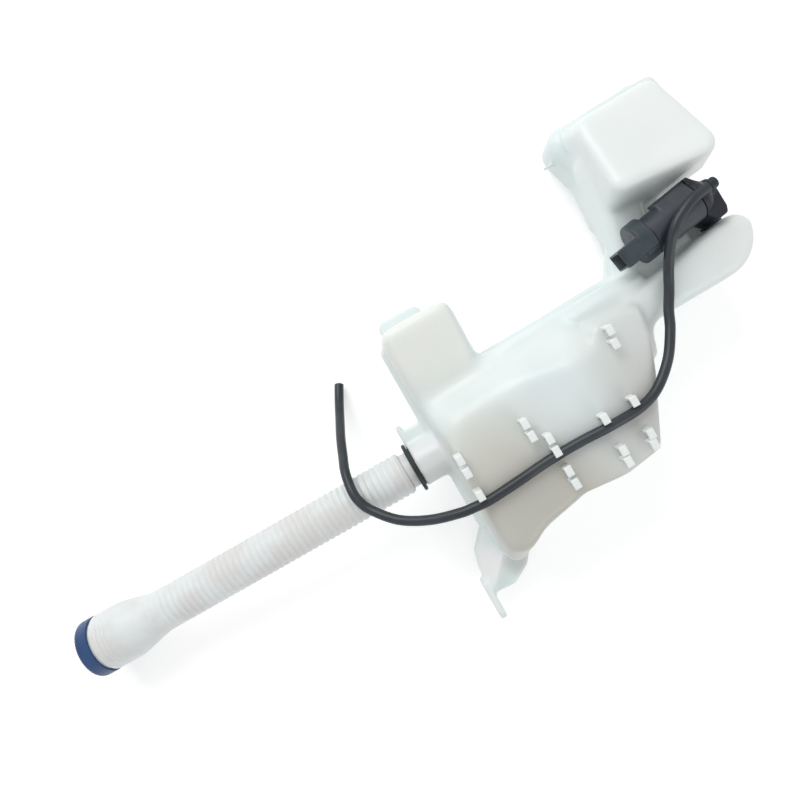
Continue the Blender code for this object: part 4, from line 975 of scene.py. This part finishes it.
def makeGasket(settings):
    face, r, bore, sleeveR = (settings[k] for k in ("face", "flangeR", "bore", "sleeveR"))
    outer = face - settings["flangeT"]
    end = face + settings["sleeve"]
    profile = [(outer, bore), (outer, r - 0.9), (outer + 0.8, r), (outer + 1.2, r), (outer + 1.5, r - 0.5),
               (outer + 1.8, r), (face - 0.8, r), (face, r - 0.9), (face, sleeveR), (end, sleeveR),
               (end, bore)]
    obj = turned("neckGasket", profile, 96, centre=(0, tube["axisY"], tube["axisZ"]),
                 material=materials["gasketRubber"])
    bevelled(obj, 0.3, 3, 25)
    return finishPiece(obj, "tank", "black_rubber", "neck_gasket", angle=35)


makeGasket(gasket)


# Filler cap

cap = {
    "radius": 26.4,
    "wall": 1.7,
    "endT": 2.2,
    "length": 11.5,
    "linerT": 1.6,
    "gap": 0.3,
    "ribs": 48,
    "ribDepth": 0.22,
    "endCurve": [(0.5, 7.0), (0.1, 6.2), (0, 5.4), (0, 3.4), (0.35, 2.0), (1.1, 0.9), (2.4, 0.2), (3.6, 0)],
    "lipCurve": [(1.8, 0), (1.2, 0), (0.3, 0.1), (0, 0.5)],   # both as (from the end, from the outside)
}


def tubeMouth():
    # Place and turn of the tube's mouth, with X along the tube towards the tank
    s = tube
    mouth = s["ringStart"] - s["rings"] * s["pitch"] - s["bellLength"] - s["barrel"] - s["mouthNeck"]
    run = s["ringStart"] - mouth
    slope = s["drop"] / run * 1.5
    place = Matrix.Translation(Vector((mouth, s["axisY"], s["axisZ"] - s["drop"])) * mm)
    return place @ Matrix.Rotation(-math.atan(slope), 4, "Y")


def makeCap(settings):
    r = settings["radius"]
    skirt = r - settings["wall"]
    end = -settings["gap"] * 2 - settings["linerT"] - settings["endT"]
    mouth = end + settings["length"] + settings["endT"]
    floor = end + settings["endT"]
    profile = [(end, 0)] + [(end + a, r - b) for a, b in settings["endCurve"]]
    profile += [(mouth - a, r - b) for a, b in settings["lipCurve"]]
    profile += [(mouth, skirt), (floor, skirt), (floor, 0)]
    obj = turned("fillerCap", profile, 192, material=materials["blueCap"])
    for vert in obj.data.vertices:
        x, y, z = vert.co / mm
        radius = math.hypot(y, z)
        if radius > r - 1.0 and x < mouth - 1.5:
            wave = 0.5 - 0.5 * math.cos(settings["ribs"] * math.atan2(z, y))
            shrink = 1.0 - settings["ribDepth"] * wave ** 4 / radius
            vert.co.y *= shrink
            vert.co.z *= shrink
    obj.data.transform(tubeMouth())
    return finishPiece(obj, "cap", "blue_cap", "filler_cap", angle=40)


makeCap(cap)


# Washer pump, in its own frame with X along the motor towards the pump head

pump = {
    "place": (149.5, 105.1, 108.0),
    "turn": 9.0,
    "motorR": 16.2,
    "wall": 1.5,
    "capR": 17.9,
    "capY": 1.6,
    "capX0": -39.5,
    "capX1": -26.5,
    "capFloor": 2.5,
    "capBore": 12.6,
    "bodyX0": -26.2,
    "bodyX1": 20.0,
    "bodyEndT": 4.0,
    "railY": 19.1,
    "headX1": 38.5,
    "chamberR": 11.6,
    "chamber": 9.7,
    "inletX": 33.0,
    "inletDrop": 28.0,
    "inletR": 4.6,
    "inletBore": 2.6,
    "outletY": 2.3,
    "outletRise": 22.0,
    "outletR": 4.7,
    "outletX0": 27.5,
    "outletX1": 34.5,
    "socketX0": -58.5,
    "socketY": -0.5,
    "socketZ": 4.3,
    "socketW": 15.0,
    "socketH": 25.5,
    "socketWall": 1.6,
    "socketRim": 1.512,       # how far inside the block the finish of the mouth starts
    "seatY": -26.0,
    "voxel": 0.45,
}
pumpFrame = (Matrix.Translation(Vector(pump["place"]) * mm)
             @ Matrix.Rotation(math.radians(pump["turn"]), 4, "Z"))
pumpTurned, pumpRod, pumpBox = (partial(make, place=pumpFrame) for make in (turned, rod, box))


def pumpPlate(name, corners, z0, z1):
    obj = makePlate(name, corners, z0, z1)
    obj.data.transform(pumpFrame)
    return obj


def makeHousing(p):
    bore = p["motorR"] - p["wall"]
    x0, x1, r = p["bodyX0"], p["bodyX1"], p["motorR"]
    end = x1 - p["bodyEndT"]
    profile = [(x0, bore), (x0, r), (x1 - 0.6, r), (x1, r - 0.6), (x1, 4.3), (end, 4.3), (end, bore)]
    shell = pumpTurned("housingShell", profile, 96)
    y = p["railY"]
    side = [(r - 1.3, -6), (y, -6), (y, 6.0), (y - 1.8, 8.4), (7.2, r - 1.7), (6.0, r - 3.0)]
    rail = lofted("housingRail", [[(x, a, b) for a, b in side] for x in (-10, x1 - 0.3)], pumpFrame)
    obj = fuse("pumpHousing", [shell, bevelled(rail, 0.7)], p["voxel"], 3, materials["pumpBlack"])
    return finishPiece(obj, "tank", "black_nylon", "pump_housing")


def paintInside(obj, low, high, material):
    # Gives the faces that lie in a box of the pump's frame a finish of their own
    obj.data.materials.append(material)
    back = pumpFrame.inverted()
    for face in obj.data.polygons:
        if all(a < c < b for a, c, b in zip(low, back @ face.center / mm, high)):
            face.material_index = len(obj.data.materials) - 1


def makeEndCap(p):
    x0, x1, r = p["capX0"], p["capX1"], p["capR"]
    profile = [(x0, 0), (x0, r - 1.6), (x0 + 0.6, r - 0.5), (x0 + 1.5, r), (x1 - 0.8, r), (x1, r - 0.8),
               (x1, 0)]
    drum = pumpTurned("capDrum", profile, 96, centre=(0, p["capY"], 0))
    spigot = pumpRod("capSpigot", x1 - 2, x1 + 4.5, p["motorR"] - p["wall"] - 0.3)
    start = p["socketX0"]
    low, high = p["socketY"] - p["socketW"] / 2, p["socketY"] + p["socketW"] / 2
    back, top = p["socketZ"] - p["socketH"] / 2, p["socketZ"] + p["socketH"] / 2
    block = bevelled(pumpBox("socketBlock", (start, low, back), (x1 - 0.8, high, top)), 0.9)
    latch = bevelled(pumpBox("socketLatch", (start + 4, low - 1.5, 2.0), (start + 12, low + 1, 10.0)), 0.5)
    obj = fuse("pumpEndCap", [drum, spigot, block, latch], p["voxel"], 2, materials["pumpSlate"])
    wall, rim = p["socketWall"], p["socketRim"]
    mouth = pumpBox("socketMouth", (start - 1, low + wall, back + wall), (x0 - 1.0, high - wall, top - wall))
    inside = pumpRod("capInside", x0 + p["capFloor"], x1 + 5.5, p["capBore"])
    carve(obj, [mouth, inside])
    paintInside(obj, (start + 0.1, low + rim, back + rim), (x0 - 0.7, high - rim, top - rim),
                materials["socketInside"])
    return finishPiece(obj, "tank", "black_nylon", "pump_end_cap", angle=40)


def makeHead(p):
    x0, x1, r = p["bodyX1"] + 0.3, p["headX1"], p["motorR"]
    profile = [(x0, 0), (x0, r), (x0 + 4.4, r), (x0 + 5.2, r - 0.4), (x0 + 8.0, r - 1.8), (x0 + 12.5, 9.6),
               (x1, 8.0), (x1, 0)]
    drum = pumpTurned("headDrum", profile, 96)
    seat = p["seatY"] + 2.1
    drop = -p["inletDrop"]
    corners = [(x0 + 0.2, -16.5, 1), (26, seat, 2.5), (34.5, seat, 3), (x1 - 1.4, -19, 2), (x1 + 1.2, 0, 3),
               (33, 8, 3), (x0 + 0.2, 7, 1)]
    fan = bevelled(pumpPlate("headFan", corners, drop - 7.5, 6.0), 1.4, 4)
    corners = [(x0, 10, 0.5), (30, 9, 1), (23.5, p["railY"], 1.5), (x0, p["railY"], 0.5)]
    lug = bevelled(pumpPlate("headLug", corners, -6.0, 9.0), 0.8)
    inletAt = {"centre": (p["inletX"], 0, drop), "axis": "Y"}
    nozzle = pumpRod("headNozzle", p["seatY"] - 9.0, -12.0, p["inletR"], **inletAt)
    start, end, pipeR, rise = p["outletX0"], p["outletX1"], p["outletR"], p["outletRise"]
    riser = pumpRod("headRiser", 5.0, rise, pipeR - 1.2, centre=(end - 3.0, p["outletY"], 0), axis="Z")
    profile = [(start, 0), (start, pipeR - 0.3), (start + 0.5, pipeR), (end - 1.8, pipeR),
               (end - 0.6, pipeR - 0.7), (end, pipeR - 2.0), (end, 0)]
    pipe = pumpTurned("headPipe", profile, 64, centre=(0, p["outletY"], rise))
    # The head takes the darker copy of the black nylon, which is painted shade
    obj = fuse("pumpHead", [drum, fan, lug, nozzle, riser, pipe], p["voxel"], 3, materials["pumpHeadShadedBlack"])
    chamber = pumpRod("headChamber", x0 - 1, x0 + p["chamber"], p["chamberR"])
    inlet = pumpRod("headInlet", p["seatY"] - 12.0, -8.0, p["inletBore"], **inletAt)
    carve(obj, [chamber, inlet])
    return finishPiece(obj, "tank", "black_nylon", "pump_head", angle=40)


def makeGrommet(p):
    bore = p["inletR"] + 0.3
    groove = 8.3
    out = p["seatY"] + 0.3
    inner = p["seatY"] - 4.2
    profile = [(inner - 3.0, bore), (inner - 3.0, groove - 1.0), (inner - 0.5, groove + 1.6),
               (inner, groove + 1.6), (inner, groove), (out + 0.3, groove), (out + 0.3, 11.0),
               (out + 1.5, 11.0), (out + 1.5, bore)]
    obj = pumpTurned("inletGrommet", profile, 72, centre=(p["inletX"], 0, -p["inletDrop"]), axis="Y",
                     material=materials["gasketRubber"])
    bevelled(obj, 0.25, 2, 25)
    return finishPiece(obj, "tank", "black_rubber", "inlet_grommet", angle=35)


makeHousing(pump)
makeEndCap(pump)
makeHead(pump)
makeGrommet(pump)
print("pump ready")


# Inner CAD nodes keep their shapes and get a finish

innerFinishes = {
    "plainBronze": ("terminal_left", "terminal_right", "commutator", "rear_bush", "front_bush"),
    "drawnSteel": ("motor_can", "rotor_shaft"),
    "darkFerrite": ("magnet_upper", "magnet_lower", "brush_plate"),
    "woundCopper": ("armature_core",),
    "brushCarbon": ("brush_left", "brush_right"),
    "whiteNylon": ("impeller", "inlet_strainer"),
    "gasketRubber": ("shaft_seal",),
    "greyFoam": ("cap_liner",),
}
for finish, nodes in innerFinishes.items():
    for node in nodes:
        slots = frame["nodes"][node].data.materials
        slots.clear()
        slots.append(materials[finish])
print("inner nodes finished:", sum(map(len, innerFinishes.values())))


# Floor and light

white = (1.0, 1.0, 1.0, 1.0)
studio = {
    "floorColor": (0.90, 0.90, 0.90),
    "floorGlow": 0.36,
    "worldLight": 0.58,
    "floorHalf": 4000,
    "floorLook": {"Roughness": 0.9, "Specular IOR Level": 0.1},
    "lamps": [  # name, place, aim, size, watts
        ("keyLamp", (-0.35, 1.75, 1.45), (-0.05, 0.05, 0.05), 1.5, 23.0),
        ("fillLamp", (0.75, -1.6, 1.25), (0.05, 0.05, 0.05), 1.2, 8.0),
    ],
}


def backgroundRays(tree):
    # 1 for the rays that show the background: the camera's own, and those by gloss and through glass
    path = addNode(tree, "ShaderNodeLightPath")
    seen = calc(tree, "ADD", path.outputs["Is Camera Ray"], path.outputs["Is Glossy Ray"])
    return calc(tree, "ADD", seen, path.outputs["Is Transmission Ray"], clamp=True)


def makeFloor(settings):
    bm = bmesh.new()
    bmesh.ops.create_grid(bm, x_segments=1, y_segments=1, size=settings["floorHalf"])
    floor = makeObject("studioFloor", bm)
    material = bpy.data.materials.new("paleFloor")
    material.use_nodes = True
    tree = material.node_tree
    glow = calc(tree, "MULTIPLY", backgroundRays(tree), settings["floorGlow"])
    feeds = {"Base Color": (*settings["floorColor"], 1.0), "Emission Color": white, "Emission Strength": glow,
             **settings["floorLook"]}
    feedAll(tree, tree.nodes["Principled BSDF"], feeds)
    floor.data.materials.append(material)


def makeWorld(settings):
    world = bpy.data.worlds.new("softStudio")
    bpy.context.scene.world = world
    world.use_nodes = True
    tree = world.node_tree
    light = tree.nodes["Background"]
    light.inputs["Color"].default_value = white
    light.inputs["Strength"].default_value = settings["worldLight"]
    seen = addNode(tree, "ShaderNodeBackground", {"Color": white, "Strength": 1.0})
    feeds = {"Fac": backgroundRays(tree), 1: light.outputs["Background"], 2: seen.outputs["Background"]}
    mix = addNode(tree, "ShaderNodeMixShader", feeds)
    tree.links.new(mix.outputs["Shader"], tree.nodes["World Output"].inputs["Surface"])


def makeLamps(settings):
    for name, place, aim, size, watts in settings["lamps"]:
        data = bpy.data.lights.new(name, "AREA")
        data.size = size
        data.energy = watts
        lamp = addObject(name, data)
        lamp.location = place
        lamp.rotation_euler = (Vector(aim) - Vector(place)).to_track_quat("-Z", "Y").to_euler()


makeFloor(studio)
makeWorld(studio)
makeLamps(studio)
bpy.context.scene.view_settings.view_transform = "Standard"
print("studio ready")
